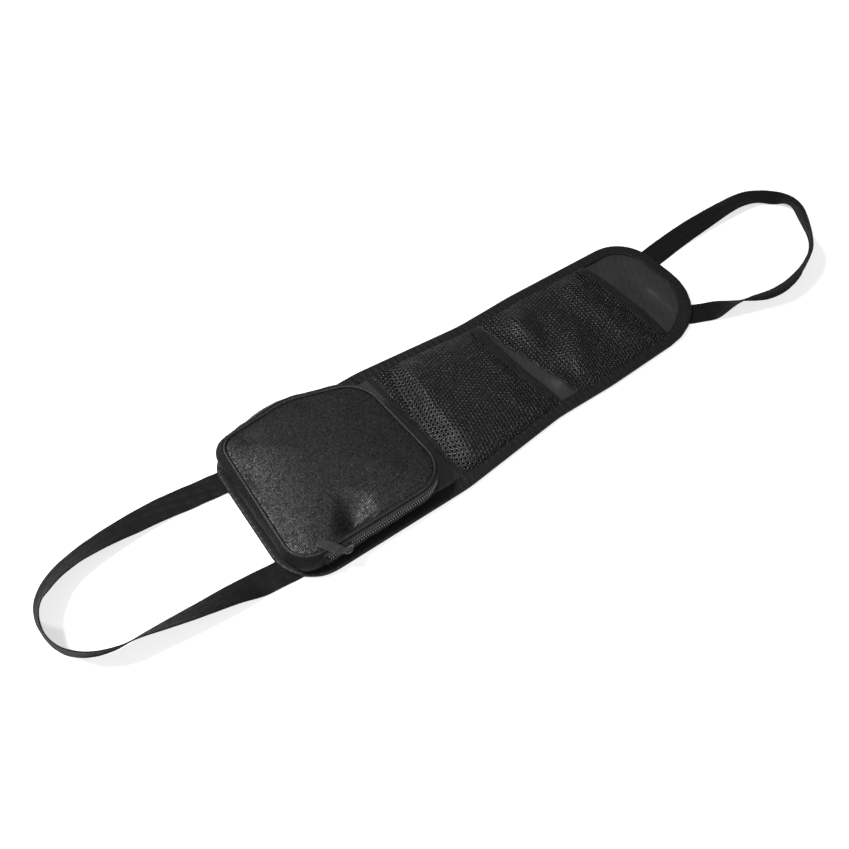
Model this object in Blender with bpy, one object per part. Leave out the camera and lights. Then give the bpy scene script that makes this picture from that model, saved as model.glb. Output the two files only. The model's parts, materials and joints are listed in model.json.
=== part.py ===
"""Car seat side organizer: a bound panel with a zipped box pocket, two net pockets and two elastic loops.

Metres, +Z up. The panel lies face up on z = 0, with its length along X and the zipped pocket at the -X end.
The origin is on the panel's back face, midway across its width.
"""
import math

import bmesh
import bpy
from mathutils import Matrix, Vector

GAP = 0.0003                    # clearance between pieces that touch when sewn

# Back panel: a padded board whose thin edge sits inside the folded binding.
PANEL_THICKNESS = 0.0037
PANEL_EDGE_THICKNESS = 0.0014
PANEL_TOP_X = 0.248
PANEL_BOTTOM_X = -0.254
BOTTOM_SLANT = 0.007            # the near bottom corner reaches this much further out, the far one less
HEM_HALF = 0.0815               # half widths at the bottom end, pocket seam, waist, shoulder and top end
SEAM_HALF = 0.0835
SEAM_X = -0.085
WAIST_HALF = 0.0725
WAIST_X = 0.030
SHOULDER_HALF = 0.0740
SHOULDER_X = 0.095
TOP_HALF = 0.0697
BOTTOM_NEAR_RADIUS = 0.038
BOTTOM_FAR_RADIUS = 0.030
TOP_NEAR_RADIUS = 0.075
TOP_FAR_RADIUS = 0.038
SIDE_BLEND_RADIUS = 0.140

# Edge binding: tape folded in a U round the panel's edge.
BINDING_WIDTH = 0.0125
BINDING_THICKNESS = 0.0010
BINDING_ROUNDING = 0.0006

# Zipped pocket: pattern corners (x, y, fillet radius) of its wall at the base, at the zip and at the face.
POCKET_BASE = (
    (-0.2520, -0.0745, 0.022), (-0.0980, -0.0745, 0.032), (-0.0960, 0.0640, 0.033),
    (-0.1700, 0.0770, 0.060), (-0.2400, 0.0730, 0.020))
POCKET_WAIST = (
    (-0.2560, -0.0775, 0.023), (-0.0965, -0.0775, 0.034), (-0.0950, 0.0665, 0.035),
    (-0.1710, 0.0910, 0.060), (-0.2430, 0.0790, 0.021))
POCKET_FACE = (
    (-0.2535, -0.0745, 0.022), (-0.0985, -0.0755, 0.032), (-0.0965, 0.0560, 0.033),
    (-0.1620, 0.0795, 0.060), (-0.2370, 0.0740, 0.020))
POCKET_HEIGHT = 0.0250          # centre of the piping above the panel's back face
WALL_THICKNESS = 0.0012
FACE_THICKNESS = 0.0020
FACE_CROWN = 0.0065             # how far the stuffed face rises above its piping
PIPING_RADIUS = 0.0014

# Zip: two rows of teeth on their tapes, in a slot between the lower and upper gusset.
ZIP_Z = 0.0155
TOOTH_PITCH = 0.0032
TEETH_WIDTH = 0.0023            # one row, measured up the wall
TEETH_THICKNESS = 0.0019
TEETH_NOTCH = 0.0006
CHAIN_GAP = 0.0012              # the slider's web runs in it
ZIP_TAPE_WIDTH = 0.0046
ZIP_TAPE_THICKNESS = 0.0006
SLIDER_START_X = -0.2080
SLIDER_LENGTH = 0.0100
SLIDER_WIDTH = 0.0082
SLIDER_TAIL_WIDTH = 0.0060
SLIDER_PLATE = 0.0011
SLIDER_WEB = 0.0006
BAIL_SPAN = 0.0068
BAIL_RISE = 0.0034
BAIL_WIRE = 0.0012
TAB_WIDTH = 0.0085
TAB_THICKNESS = 0.0010
TAB_EYE = 0.0036                 # length of the slot that the bail passes through
TAB_PATH = (  # reach from the pin, place in y and z, lean in degrees, share of the full width
    (0.0066, -0.0006, 0.0020, 8, 0.92), (0.0092, -0.0004, 0.0056, 22, 1.0), (0.0114, 0.0012, 0.0096, 42, 1.0),
    (0.0138, 0.0046, 0.0125, 62, 1.0), (0.0166, 0.0092, 0.0137, 78, 1.0), (0.0190, 0.0132, 0.0140, 85, 0.95),
    (0.0202, 0.0152, 0.0140, 86, 0.60))

# Net pockets: the seam is the closed end, the mouth opens towards +X.
NET_THICKNESS = 0.0010
UPPER_SEAM_X = 0.052
UPPER_MOUTH_X = 0.178
UPPER_RISE = 0.0085
UPPER_MOUTH_RISE = 0.0070
UPPER_MOUTH_SAG = 0.0000
UPPER_HOLES = (8, 9)
MIDDLE_SEAM_X = -0.077
MIDDLE_MOUTH_X = 0.040
MIDDLE_RISE = 0.0105
MIDDLE_MOUTH_RISE = 0.0075
MIDDLE_MOUTH_SAG = 0.0060
MIDDLE_HOLES = (8, 9)
NET_TAPE_WIDTH = 0.0095
NET_TAPE_THICKNESS = 0.0006
HEM_TAPE_WIDTH = 0.0060
HEM_TAPE_THICKNESS = 0.0008

# Elastic loops: hand-chosen (x, y, twist in degrees) along the webbing's centre line. Twist 0 lies face up,
# 90 stands on its outer edge and 180 lies face down.
STRAP_WIDTH = 0.0250
STRAP_THICKNESS = 0.0012
STRAP_STEPS = 4                 # stations between two waypoints
BOTTOM_LOOP = (
    (-0.2250, 0.0490, 0), (-0.2500, 0.0523, 0), (-0.2770, 0.0559, 0), (-0.302, 0.0590, 3), (-0.330, 0.060, 9),
    (-0.357, 0.059, 20), (-0.384, 0.056, 30), (-0.406, 0.049, 37), (-0.421, 0.038, 48), (-0.429, 0.027, 64),
    (-0.4335, 0.013, 80), (-0.4345, -0.003, 92), (-0.429, -0.020, 101), (-0.415, -0.034, 108),
    (-0.396, -0.0415, 116), (-0.377, -0.043, 124), (-0.354, -0.0455, 138), (-0.328, -0.0485, 150),
    (-0.302, -0.0510, 162), (-0.2770, -0.0538, 180), (-0.2500, -0.0568, 180), (-0.2250, -0.0596, 180))
TOP_LOOP = (
    (0.2220, 0.0262, 0), (0.2500, 0.0295, 0), (0.2800, 0.0330, 0), (0.310, 0.0352, 3), (0.340, 0.036, 8),
    (0.377, 0.0355, 16), (0.404, 0.031, 10), (0.420, 0.021, 4), (0.4305, 0.009, 4), (0.430, -0.005, 16),
    (0.421, -0.021, 33), (0.407, -0.039, 42), (0.392, -0.056, 54), (0.376, -0.069, 76), (0.359, -0.0785, 88),
    (0.341, -0.0855, 90), (0.320, -0.0895, 95), (0.300, -0.0890, 103), (0.285, -0.0845, 115), (0.271, -0.0770, 127),
    (0.256, -0.0695, 148), (0.2400, -0.0619, 180), (0.2180, -0.0515, 180), (0.2000, -0.0430, 180))

PANEL_TOP_Z = PANEL_THICKNESS
BINDING_TOP_Z = 2 * (BINDING_THICKNESS + GAP) + PANEL_EDGE_THICKNESS
ARC_STEP = math.radians(12)
HALF_PI = math.pi / 2


def clear_scene():
    for item in list(bpy.data.objects):
        bpy.data.objects.remove(item)


def material(name, color, roughness, metallic=0.0):
    """One Principled material for each kind of fabric or fitting."""
    made = bpy.data.materials.new(name)
    made.use_nodes = True
    shader = made.node_tree.nodes["Principled BSDF"]
    shader.inputs["Base Color"].default_value = (*color, 1.0)
    shader.inputs["Roughness"].default_value = roughness
    shader.inputs["Metallic"].default_value = metallic
    made.diffuse_color = (*color, 1.0)
    return made


def add_object(name, bm, finish, origin=(0, 0, 0), smooth=True):
    """Closes a bmesh into a named object whose origin sits at the given point."""
    bmesh.ops.recalc_face_normals(bm, faces=bm.faces)
    bmesh.ops.translate(bm, verts=bm.verts, vec=-Vector(origin))
    mesh = bpy.data.meshes.new(name)
    bm.to_mesh(mesh)
    bm.free()
    mesh.materials.append(finish)
    if smooth:
        mesh.shade_smooth()
        mesh.set_sharp_from_angle(angle=math.radians(35))
    made = bpy.data.objects.new(name, mesh)
    made.location = origin
    PARTS.objects.link(made)
    return made


def loft(bm, rings, close=False):
    """Joins rings of equal length with quads; caps both ends unless the last ring joins the first."""
    rows = [[bm.verts.new(point) for point in ring] for ring in rings]
    pairs = list(zip(rows, rows[1:]))
    if close:
        pairs.append((rows[-1], rows[0]))
    else:
        bm.faces.new(rows[0])
        bm.faces.new(list(reversed(rows[-1])))
    for low, high in pairs:
        for i in range(len(low)):
            j = (i + 1) % len(low)
            bm.faces.new((low[i], high[i], high[j], low[j]))
    return rows


def box_cutter(name, center, size, turn):
    """A box that cuts a recess and is left out of the model."""
    bm = bmesh.new()
    bmesh.ops.create_cube(bm, size=1.0)
    bmesh.ops.scale(bm, verts=bm.verts, vec=size)
    mesh = bpy.data.meshes.new(name)
    bm.to_mesh(mesh)
    bm.free()
    made = bpy.data.objects.new(name, mesh)
    made.location = center
    made.rotation_euler = (0, 0, turn)
    made.hide_render = True
    made.display_type = "WIRE"
    CUTTERS.objects.link(made)
    return made


def boolean(target, other, operation="DIFFERENCE"):
    step = target.modifiers.new(f"{operation.lower()}_{other.name}", "BOOLEAN")
    step.object = other
    step.operation = operation
    step.solver = "EXACT"


def smooth_path(points, steps):
    """Catmull-Rom curve through tuples of any length, with a set number of steps between two."""
    out = []
    last = len(points) - 1
    for i in range(last):
        before, start, end, after = (points[max(0, i - 1)], points[i], points[i + 1], points[min(last, i + 2)])
        for k in range(steps):
            t = k / steps
            out.append(tuple(
                0.5 * (2 * b + (c - a) * t + (2 * a - 5 * b + 4 * c - d) * t ** 2 + (3 * b - a - 3 * c + d) * t ** 3)
                for a, b, c, d in zip(before, start, end, after)))
    out.append(tuple(points[-1]))
    return out


def line_crossing(p, u, q, v):
    """Where the line through p along u meets the line through q along v."""
    t = ((q - p).cross(v)) / u.cross(v)
    return p + u * t


def corner_turns(corners):
    """The angle turned at each corner of an anticlockwise pattern, negative where it bends back."""
    spots = [Vector(corner[:2]) for corner in corners]
    turns = []
    for i, spot in enumerate(spots):
        before = spot - spots[i - 1]
        after = spots[(i + 1) % len(spots)] - spot
        turns.append(math.atan2(before.cross(after), before.dot(after)))
    return turns


def arc_steps(corners):
    return [max(2, round(abs(turn) / ARC_STEP)) for turn in corner_turns(corners)]


def rounded_outline(corners, inset, steps):
    """Anticlockwise polygon with filleted corners, moved inwards by inset, with set steps in each arc."""
    count = len(corners)
    turns = corner_turns(corners)
    spots = [Vector(corner[:2]) for corner in corners]
    sides = [(spots[(i + 1) % count] - spots[i]).normalized() for i in range(count)]
    inward = [Vector((-side.y, side.x)) for side in sides]
    points = []
    for i, (_, _, radius) in enumerate(corners):
        before, after = sides[i - 1], sides[i]
        spot = line_crossing(spots[i] + inward[i - 1] * inset, before, spots[i] + inward[i] * inset, after)
        turn = turns[i]
        bend = radius - math.copysign(inset, turn)
        reach = bend * math.tan(abs(turn) / 2)
        center = spot - before * reach + inward[i - 1] * math.copysign(bend, turn)
        spoke = -inward[i - 1] * math.copysign(bend, turn)
        for k in range(steps[i] + 1):
            points.append(center + Matrix.Rotation(turn * k / steps[i], 2) @ spoke)
    return points


def ring_at(outline, z):
    return [Vector((point.x, point.y, z)) for point in outline]


PANEL_CORNERS = (
    (PANEL_BOTTOM_X - BOTTOM_SLANT, -HEM_HALF, BOTTOM_NEAR_RADIUS),
    (SEAM_X, -SEAM_HALF, SIDE_BLEND_RADIUS),
    (WAIST_X, -WAIST_HALF, SIDE_BLEND_RADIUS),
    (SHOULDER_X, -SHOULDER_HALF, SIDE_BLEND_RADIUS),
    (PANEL_TOP_X, -TOP_HALF, TOP_NEAR_RADIUS),
    (PANEL_TOP_X, TOP_HALF, TOP_FAR_RADIUS),
    (SHOULDER_X, SHOULDER_HALF, SIDE_BLEND_RADIUS),
    (WAIST_X, WAIST_HALF, SIDE_BLEND_RADIUS),
    (SEAM_X, SEAM_HALF, SIDE_BLEND_RADIUS),
    (PANEL_BOTTOM_X + BOTTOM_SLANT, HEM_HALF, BOTTOM_FAR_RADIUS))


def panel_outline(inset):
    return rounded_outline(PANEL_CORNERS, inset, arc_steps(PANEL_CORNERS))


def panel_edge_y(x, inset, side):
    """Where the panel's outline, moved in by inset, crosses the line at x on the side +1 or -1."""
    outline = panel_outline(inset)
    hits = []
    for a, b in zip(outline, outline[1:] + outline[:1]):
        if min(a.x, b.x) <= x <= max(a.x, b.x) and a.x != b.x:
            hits.append(a.y + (b.y - a.y) * (x - a.x) / (b.x - a.x))
    return max(hits) if side > 0 else min(hits)


def strap_end(points):
    """Centre and heading of the sewn end of a loop, from its first two waypoints."""
    tip, inner = Vector(points[0][:2]), Vector(points[1][:2])
    return tip, (inner - tip).normalized()


def strap_slots(name, loop):
    """Cutters for the two shallow recesses that seat a loop's sewn ends under the panel."""
    cutters = []
    for label, points in (("far", loop), ("near", loop[::-1])):
        tip, heading = strap_end(points)
        reach = (Vector(points[2][:2]) - tip).length
        center = tip + heading * (reach / 2 - GAP)
        depth = STRAP_THICKNESS + GAP
        size = (reach + 2 * GAP, STRAP_WIDTH + 2 * GAP, 2 * depth)
        turn = math.atan2(heading.y, heading.x)
        cutters.append(box_cutter(f"{name}_slot_{label}", (center.x, center.y, 0), size, turn))
    return cutters


def build_panel(slots):
    low = BINDING_THICKNESS + GAP
    high = low + PANEL_EDGE_THICKNESS
    body = BINDING_WIDTH + GAP
    edge = BINDING_THICKNESS + GAP
    section = ((body, 0), (body, low), (edge, low), (edge, high), (body, high), (body, PANEL_TOP_Z))
    bm = bmesh.new()
    loft(bm, [ring_at(panel_outline(inset), z) for inset, z in section])
    panel = add_object("back_panel", bm, LINING, smooth=False)
    for slot in slots:
        boolean(panel, slot)


def build_binding(slots):
    width, wall, fold, top = BINDING_WIDTH, BINDING_THICKNESS, BINDING_ROUNDING, BINDING_TOP_Z
    section = (
        (width, 0), (fold, 0), (0, fold), (0, top - fold), (fold, top), (width, top),
        (width, top - wall), (wall, top - wall), (wall, wall), (width, wall))
    bm = bmesh.new()
    loft(bm, [ring_at(panel_outline(inset), z) for inset, z in section], close=True)
    binding = add_object("edge_binding", bm, BINDING)
    for slot in slots:
        boolean(binding, slot)


def build_strap(name, loop):
    """Webbing that lies flat where it is sewn and twists over through half a turn on its way round."""
    stations = smooth_path(loop, STRAP_STEPS)
    half, thin = STRAP_WIDTH / 2, STRAP_THICKNESS / 2
    edge = thin * 0.5
    section = (
        (-half, -edge), (-half + thin, -thin), (half - thin, -thin), (half, -edge),
        (half, edge), (half - thin, thin), (-half + thin, thin), (-half, edge))
    side = 1 if name.startswith("top") else -1
    rings = []
    for i, (x, y, twist) in enumerate(stations):
        ahead = stations[min(i + 1, len(stations) - 1)]
        behind = stations[max(i - 1, 0)]
        heading = Vector((ahead[0] - behind[0], ahead[1] - behind[1], 0)).normalized()
        outward = Vector((-heading.y, heading.x, 0)) * side
        angle = math.radians(min(180, max(0, twist)))
        across = outward * math.cos(angle) - Vector((0, 0, math.sin(angle)))
        through = outward * math.sin(angle) + Vector((0, 0, math.cos(angle)))
        lift = half * math.sin(angle) + thin * abs(math.cos(angle))
        center = Vector((x, y, lift))
        rings.append([center + across * a + through * b for a, b in section])
    lowest = min(point.z for ring in rings for point in ring)
    rings = [[point - Vector((0, 0, min(0, lowest))) for point in ring] for ring in rings]
    bm = bmesh.new()
    loft(bm, rings)
    return add_object(name, bm, WEBBING)


def net_profile(t, rise, mouth_rise):
    """Height of a net above the panel, from its seam at t = 0 to its mouth at t = 1."""
    swell = math.sin(min(1.0, t / 0.30) * HALF_PI) ** 1.3
    fall = max(0.0, (t - 0.30) / 0.70)
    return swell * (rise + (mouth_rise - rise) * fall ** 1.5)


def net_point(shape, t, v, lift=0.0):
    """A point of a net's middle surface; t runs seam to mouth and v from the near side to the far side."""
    seam_x, mouth_x, rise, mouth_rise, sag = shape
    x = seam_x + (mouth_x - sag * (1 - v * v) - seam_x) * t
    inset = BINDING_WIDTH + 3 * GAP
    near, far = panel_edge_y(x, inset, -1), panel_edge_y(x, inset, 1)
    y = (near + far) / 2 + v * (far - near) / 2
    bulge = (1 - abs(v) ** 3) ** 0.75
    tape_room = (NET_TAPE_THICKNESS + GAP) * t ** 4
    base = PANEL_TOP_Z + GAP + NET_THICKNESS / 2 + tape_room
    return Vector((x, y, base + net_profile(t, rise, mouth_rise) * bulge + lift))


def net_grid(shape, holes):
    """Where a net's bars lie: even steps from the seam, then one solid row as wide as the mouth's tape."""
    rows, columns = 2 * holes[0], 2 * holes[1] + 2
    hem = 1 - NET_TAPE_WIDTH / (shape[1] - shape[0])
    return [hem * i / rows for i in range(rows + 1)] + [1.0], [2 * j / columns - 1 for j in range(columns + 1)]


def build_net(name, shape, holes):
    """A shallow net shell: a grid of bars with staggered openings, like the real warp-knit mesh at a larger pitch."""
    half = NET_THICKNESS / 2
    along, across = net_grid(shape, holes)
    rows, columns = len(along) - 1, len(across) - 1
    bm = bmesh.new()
    below, above = (
        [[bm.verts.new(net_point(shape, t, v, lift)) for v in across] for t in along] for lift in (-half, half))

    def solid(i, j):
        if not (0 <= i < rows and 0 <= j < columns):
            return False
        return i % 2 == 0 or (j + i // 2) % 2 == 0 or j in (0, columns - 1)

    for i in range(rows):
        for j in range(columns):
            if not solid(i, j):
                continue
            spots = ((i, j), (i + 1, j), (i + 1, j + 1), (i, j + 1))
            bm.faces.new([above[a][b] for a, b in spots])
            bm.faces.new([below[a][b] for a, b in reversed(spots)])
            beyond = ((i, j - 1), (i + 1, j), (i, j + 1), (i - 1, j))
            for k, neighbour in enumerate(beyond):
                if not solid(*neighbour):
                    (a, b), (c, d) = spots[k], spots[(k + 1) % 4]
                    bm.faces.new((above[a][b], below[a][b], below[c][d], above[c][d]))
    add_object(name, bm, NET)


def build_net_tape(name, shape, holes):
    """Tape folded round a net's mouth edge; its section is a C that opens towards the seam."""
    inner = NET_THICKNESS / 2 + GAP
    outer = inner + NET_TAPE_THICKNESS
    along, across = net_grid(shape, holes)
    rings = []
    for v in across:
        back, tip = net_point(shape, along[-2], v), net_point(shape, 1.0, v)
        stops = (
            (back, 0, inner), (back, 0, outer), (tip, 0, outer), (tip, GAP + NET_TAPE_THICKNESS, inner),
            (tip, GAP + NET_TAPE_THICKNESS, -inner), (tip, 0, -outer), (back, 0, -outer), (back, 0, -inner),
            (tip, GAP, -inner), (tip, GAP, inner))
        rings.append([spot + Vector((ahead, 0, lift)) for spot, ahead, lift in stops])
    bm = bmesh.new()
    loft(bm, rings)
    add_object(name, bm, BINDING)


def pocket_outline(z, inset=0.0):
    """The pocket wall's outline at a height, blended between its base, zip and face patterns."""
    base_z, face_z = BINDING_TOP_Z + GAP, POCKET_HEIGHT
    if z <= ZIP_Z:
        low, high, share = POCKET_BASE, POCKET_WAIST, (z - base_z) / (ZIP_Z - base_z)
    else:
        low, high, share = POCKET_WAIST, POCKET_FACE, (z - ZIP_Z) / (face_z - ZIP_Z)
    share = math.sin(share * HALF_PI) if z <= ZIP_Z else 1 - math.cos(share * HALF_PI)
    corners = [tuple(a + (b - a) * share for a, b in zip(p, q)) for p, q in zip(low, high)]
    return rounded_outline(corners, inset, arc_steps(POCKET_WAIST))


def zip_run(points):
    """The part of a pocket outline that the zip follows: near side, top end and far side."""
    steps = arc_steps(POCKET_WAIST)
    return points[steps[0]:len(points) - steps[-1]]


def hinge_run(points):
    """The rest of the outline, which the plain gusset at the bottom end follows."""
    steps = arc_steps(POCKET_WAIST)
    return points[len(points) - steps[-1] - 1:] + points[:steps[0] + 1]


def wall_strip(run, levels, outer, inner):
    """Rings for a wall strip that stands along part of the pocket's outline, one ring for each outline point."""
    outside = [run(pocket_outline(z, outer)) for z in levels]
    inside = [run(pocket_outline(z, inner)) for z in levels]
    rings = []
    for k in range(len(outside[0])):
        ring = [Vector((*outside[i][k], z)) for i, z in enumerate(levels)]
        ring += [Vector((*inside[i][k], z)) for i, z in reversed(list(enumerate(levels)))]
        rings.append(ring)
    return rings


def trim_ends(rings, amount):
    """Pulls the first and last ring back so that neighbouring strips keep a gap."""
    for end, inner in ((0, 1), (-1, -2)):
        span = (rings[inner][0] - rings[end][0]).length
        rings[end] = [a.lerp(b, amount / span) for a, b in zip(rings[end], rings[inner])]
    return rings


def build_gussets():
    base_z = BINDING_TOP_Z + GAP
    slot = CHAIN_GAP / 2 + TEETH_WIDTH + GAP
    top_z = POCKET_HEIGHT - PIPING_RADIUS - GAP
    parts = (
        ("pocket_gusset_lower", zip_run, (base_z, (base_z + ZIP_Z - slot) / 2, ZIP_Z - slot)),
        ("pocket_gusset_upper", zip_run, (ZIP_Z + slot, (top_z + ZIP_Z + slot) / 2, top_z)),
        ("pocket_hinge_gusset", hinge_run, (base_z, ZIP_Z - slot, ZIP_Z, ZIP_Z + slot, top_z)))
    for name, run, levels in parts:
        rings = wall_strip(run, levels, 0.0, WALL_THICKNESS)
        trim = GAP if run is zip_run else 0.0
        bm = bmesh.new()
        loft(bm, trim_ends(rings, trim))
        add_object(name, bm, POCKET_FABRIC)


def build_zip_tapes():
    outer = TEETH_THICKNESS + GAP
    inner = outer + ZIP_TAPE_THICKNESS
    near_chain = CHAIN_GAP / 2 + 2 * GAP / 3
    for name, levels in (
            ("zip_tape_lower", (ZIP_Z - near_chain - ZIP_TAPE_WIDTH, ZIP_Z - near_chain)),
            ("zip_tape_upper", (ZIP_Z + near_chain, ZIP_Z + near_chain + ZIP_TAPE_WIDTH))):
        bm = bmesh.new()
        loft(bm, trim_ends(wall_strip(zip_run, levels, outer, inner), GAP))
        add_object(name, bm, ZIP_TAPE)


def run_length(points):
    return sum((b - a).length for a, b in zip(points, points[1:]))


def even_stations(points, count):
    """Points at even steps along a polyline, each with its outward normal in plan."""
    lengths = [(b - a).length for a, b in zip(points, points[1:])]
    stations = []
    for k in range(count + 1):
        target = sum(lengths) * k / count
        i = 0
        while i < len(lengths) - 1 and target > lengths[i]:
            target -= lengths[i]
            i += 1
        heading = (points[i + 1] - points[i]).normalized()
        stations.append((points[i] + heading * target, Vector((heading.y, -heading.x))))
    return stations


def build_teeth():
    """Each row is a bar notched once for each tooth, the two rows half a pitch out of step."""
    half_gap = CHAIN_GAP / 2
    count = round(2 * run_length(zip_run(pocket_outline(ZIP_Z))) / TOOTH_PITCH)
    for name, low, high, up in (
            ("zip_teeth_lower", ZIP_Z - half_gap - TEETH_WIDTH, ZIP_Z - half_gap, 1),
            ("zip_teeth_upper", ZIP_Z + half_gap, ZIP_Z + half_gap + TEETH_WIDTH, 0)):
        below = even_stations(zip_run(pocket_outline(low)), count)
        above = even_stations(zip_run(pocket_outline(high)), count)
        rings = []
        for k in range(1, count):
            notch = 0.0 if (k + up) % 2 else TEETH_NOTCH
            bottom = low + (0 if up else notch)
            top = high - (notch if up else 0)
            (low_spot, low_out), (high_spot, high_out) = below[k], above[k]
            rings.append([
                Vector((*(low_spot - low_out * notch), bottom)),
                Vector((*(high_spot - high_out * notch), top)),
                Vector((*(high_spot - high_out * TEETH_THICKNESS), top)),
                Vector((*(low_spot - low_out * TEETH_THICKNESS), bottom))])
        bm = bmesh.new()
        loft(bm, rings)
        add_object(name, bm, TEETH, smooth=False)


def slider_origin():
    wall_y = min(point.y for point in pocket_outline(ZIP_Z))
    return Vector((SLIDER_START_X, wall_y, ZIP_Z))


def build_slider():
    """Two plates joined by a web that runs between the rows of teeth, with an arched bail outside."""
    home = slider_origin()
    near = -2 * GAP
    front = near - SLIDER_PLATE
    back = TEETH_THICKNESS + ZIP_TAPE_THICKNESS + 5 * GAP
    rear = back + SLIDER_PLATE
    half_web = SLIDER_WEB / 2
    rings = []
    stations = ((-0.5, SLIDER_TAIL_WIDTH * 0.86), (-0.44, SLIDER_TAIL_WIDTH), (-0.1, SLIDER_TAIL_WIDTH),
                (0.18, SLIDER_WIDTH), (0.42, SLIDER_WIDTH), (0.5, SLIDER_WIDTH * 0.82))
    for share, width in stations:
        half = width / 2
        section = (
            (front, half - 2 * GAP), (near, half), (near, half_web), (back, half_web), (back, half),
            (rear, half - 2 * GAP), (rear, 2 * GAP - half), (back, -half), (back, -half_web), (near, -half_web),
            (near, -half), (front, 2 * GAP - half))
        rings.append([home + Vector((SLIDER_LENGTH * share, y, z)) for y, z in section])
    bm = bmesh.new()
    loft(bm, rings)
    slider = add_object("zip_slider", bm, SLIDER_METAL, origin=home)

    arch = bmesh.new()
    steps = 10
    thick = BAIL_WIRE / 2
    bars = []
    foot = front + SLIDER_PLATE / 2
    for k in range(steps + 1):
        angle = math.pi * k / steps
        outward = Vector((-math.cos(angle), -math.sin(angle), 0))
        center = home + Vector((-math.cos(angle) * BAIL_SPAN / 2, foot - math.sin(angle) * BAIL_RISE, 0))
        bars.append([center + outward * a + Vector((0, 0, b))
                     for a, b in ((-thick, -thick), (thick, -thick), (thick, thick), (-thick, thick))])
    loft(arch, bars)
    bmesh.ops.recalc_face_normals(arch, faces=arch.faces)
    mesh = bpy.data.meshes.new("bail_arch")
    arch.to_mesh(mesh)
    arch.free()
    bail = bpy.data.objects.new("bail_arch", mesh)
    bail.hide_render = True
    bail.display_type = "WIRE"
    CUTTERS.objects.link(bail)
    boolean(slider, bail, "UNION")
    return home, front


def build_tab(home, front):
    """Pull tab: an eye round the bail's foot, then a soft tongue that climbs the wall and lies over the piping."""
    pin = home + Vector((0, front - BAIL_WIRE - GAP / 2, 0))
    half, thin = TAB_WIDTH / 2, TAB_THICKNESS / 2
    eye_half = BAIL_WIRE / 2 + 2 * GAP
    frame_half = eye_half + BAIL_WIRE
    bar = thin
    stops = [
        (Vector((reach, 0, 0)), 0, frame_half) for reach in (-bar, bar, TAB_EYE + 2 * bar, TAB_EYE + 4 * bar)]
    stops += [(Vector(place), lean, half * share) for *place, lean, share in TAB_PATH]
    rings = []
    for i, (place, lean, width) in enumerate(stops):
        ahead = stops[min(i + 1, len(stops) - 1)][0]
        behind = stops[max(i - 1, 0)][0]
        heading = Vector((behind.x - ahead.x, ahead.y - behind.y, ahead.z - behind.z)).normalized()
        outward = Vector((0, -math.cos(math.radians(lean)), math.sin(math.radians(lean))))
        across = outward.cross(heading).normalized()
        through = heading.cross(across).normalized()
        center = pin + Vector((-place.x, place.y, place.z))
        rings.append([center + across * a + through * b
                      for a, b in ((-width, -thin), (width, -thin), (width, thin), (-width, thin))])
    bm = bmesh.new()
    loft(bm, rings)
    tab = add_object("pull_tab", bm, TAB_METAL, origin=pin)
    center = pin - Vector((bar + TAB_EYE / 2, 0, 0))
    eye = box_cutter("tab_eye", center, (TAB_EYE, 6 * TAB_THICKNESS, 2 * eye_half), 0)
    boolean(tab, eye)


def build_face():
    """The pocket's front: a crowned shell inside the piping, dented near its zip corner."""
    edge = PIPING_RADIUS * 2 + 2 * GAP
    outline = pocket_outline(POCKET_HEIGHT, edge)
    center = sum(outline, Vector((0, 0))) / len(outline)
    shares = (1.0, 0.95, 0.86, 0.70, 0.48, 0.22)
    dent = Vector((-0.201, -0.046))

    def height(point, share):
        crown = FACE_CROWN * (1 - share ** 2.6)
        away = point - dent
        hollow = 0.0045 * math.exp(-(away.x / 0.011) ** 2 - (away.y / 0.022) ** 2)
        return POCKET_HEIGHT + crown - hollow * (1 - share ** 8)

    bottom, top = [], []
    for share in shares:
        ring = [center + (point - center) * share for point in outline]
        top.append([Vector((*point, height(point, share) + FACE_THICKNESS / 2)) for point in ring])
        bottom.append([Vector((*point, height(point, share) - FACE_THICKNESS / 2)) for point in ring])
    bm = bmesh.new()
    loft(bm, bottom[::-1] + top)
    add_object("pocket_face", bm, POCKET_FABRIC)


def build_piping():
    sides = 8
    rings = []
    for k in range(sides):
        angle = math.tau * k / sides
        inset = PIPING_RADIUS - math.cos(angle) * PIPING_RADIUS
        z = POCKET_HEIGHT + math.sin(angle) * PIPING_RADIUS
        rings.append(ring_at(rounded_outline(POCKET_FACE, inset, arc_steps(POCKET_WAIST)), z))
    bm = bmesh.new()
    loft(bm, rings, close=True)
    add_object("pocket_piping", bm, PIPING)


def build_hem():
    """The narrow tape that stitches the middle net's closed end to the panel."""
    start = MIDDLE_SEAM_X - GAP - HEM_TAPE_WIDTH
    low, high = PANEL_TOP_Z + GAP, PANEL_TOP_Z + GAP + HEM_TAPE_THICKNESS
    inset = BINDING_WIDTH + 3 * GAP
    rings = []
    for side in (-1, 1):
        rings.append([
            Vector((x, panel_edge_y(x, inset, side), z))
            for x, z in ((start, low), (start + HEM_TAPE_WIDTH, low), (start + HEM_TAPE_WIDTH, high), (start, high))])
    bm = bmesh.new()
    loft(bm, rings)
    add_object("middle_net_hem", bm, BINDING)


clear_scene()
PARTS = bpy.data.collections.new("car_seat_side_organizer")
CUTTERS = bpy.data.collections.new("cutters")
bpy.context.scene.collection.children.link(PARTS)
bpy.context.scene.collection.children.link(CUTTERS)

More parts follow.
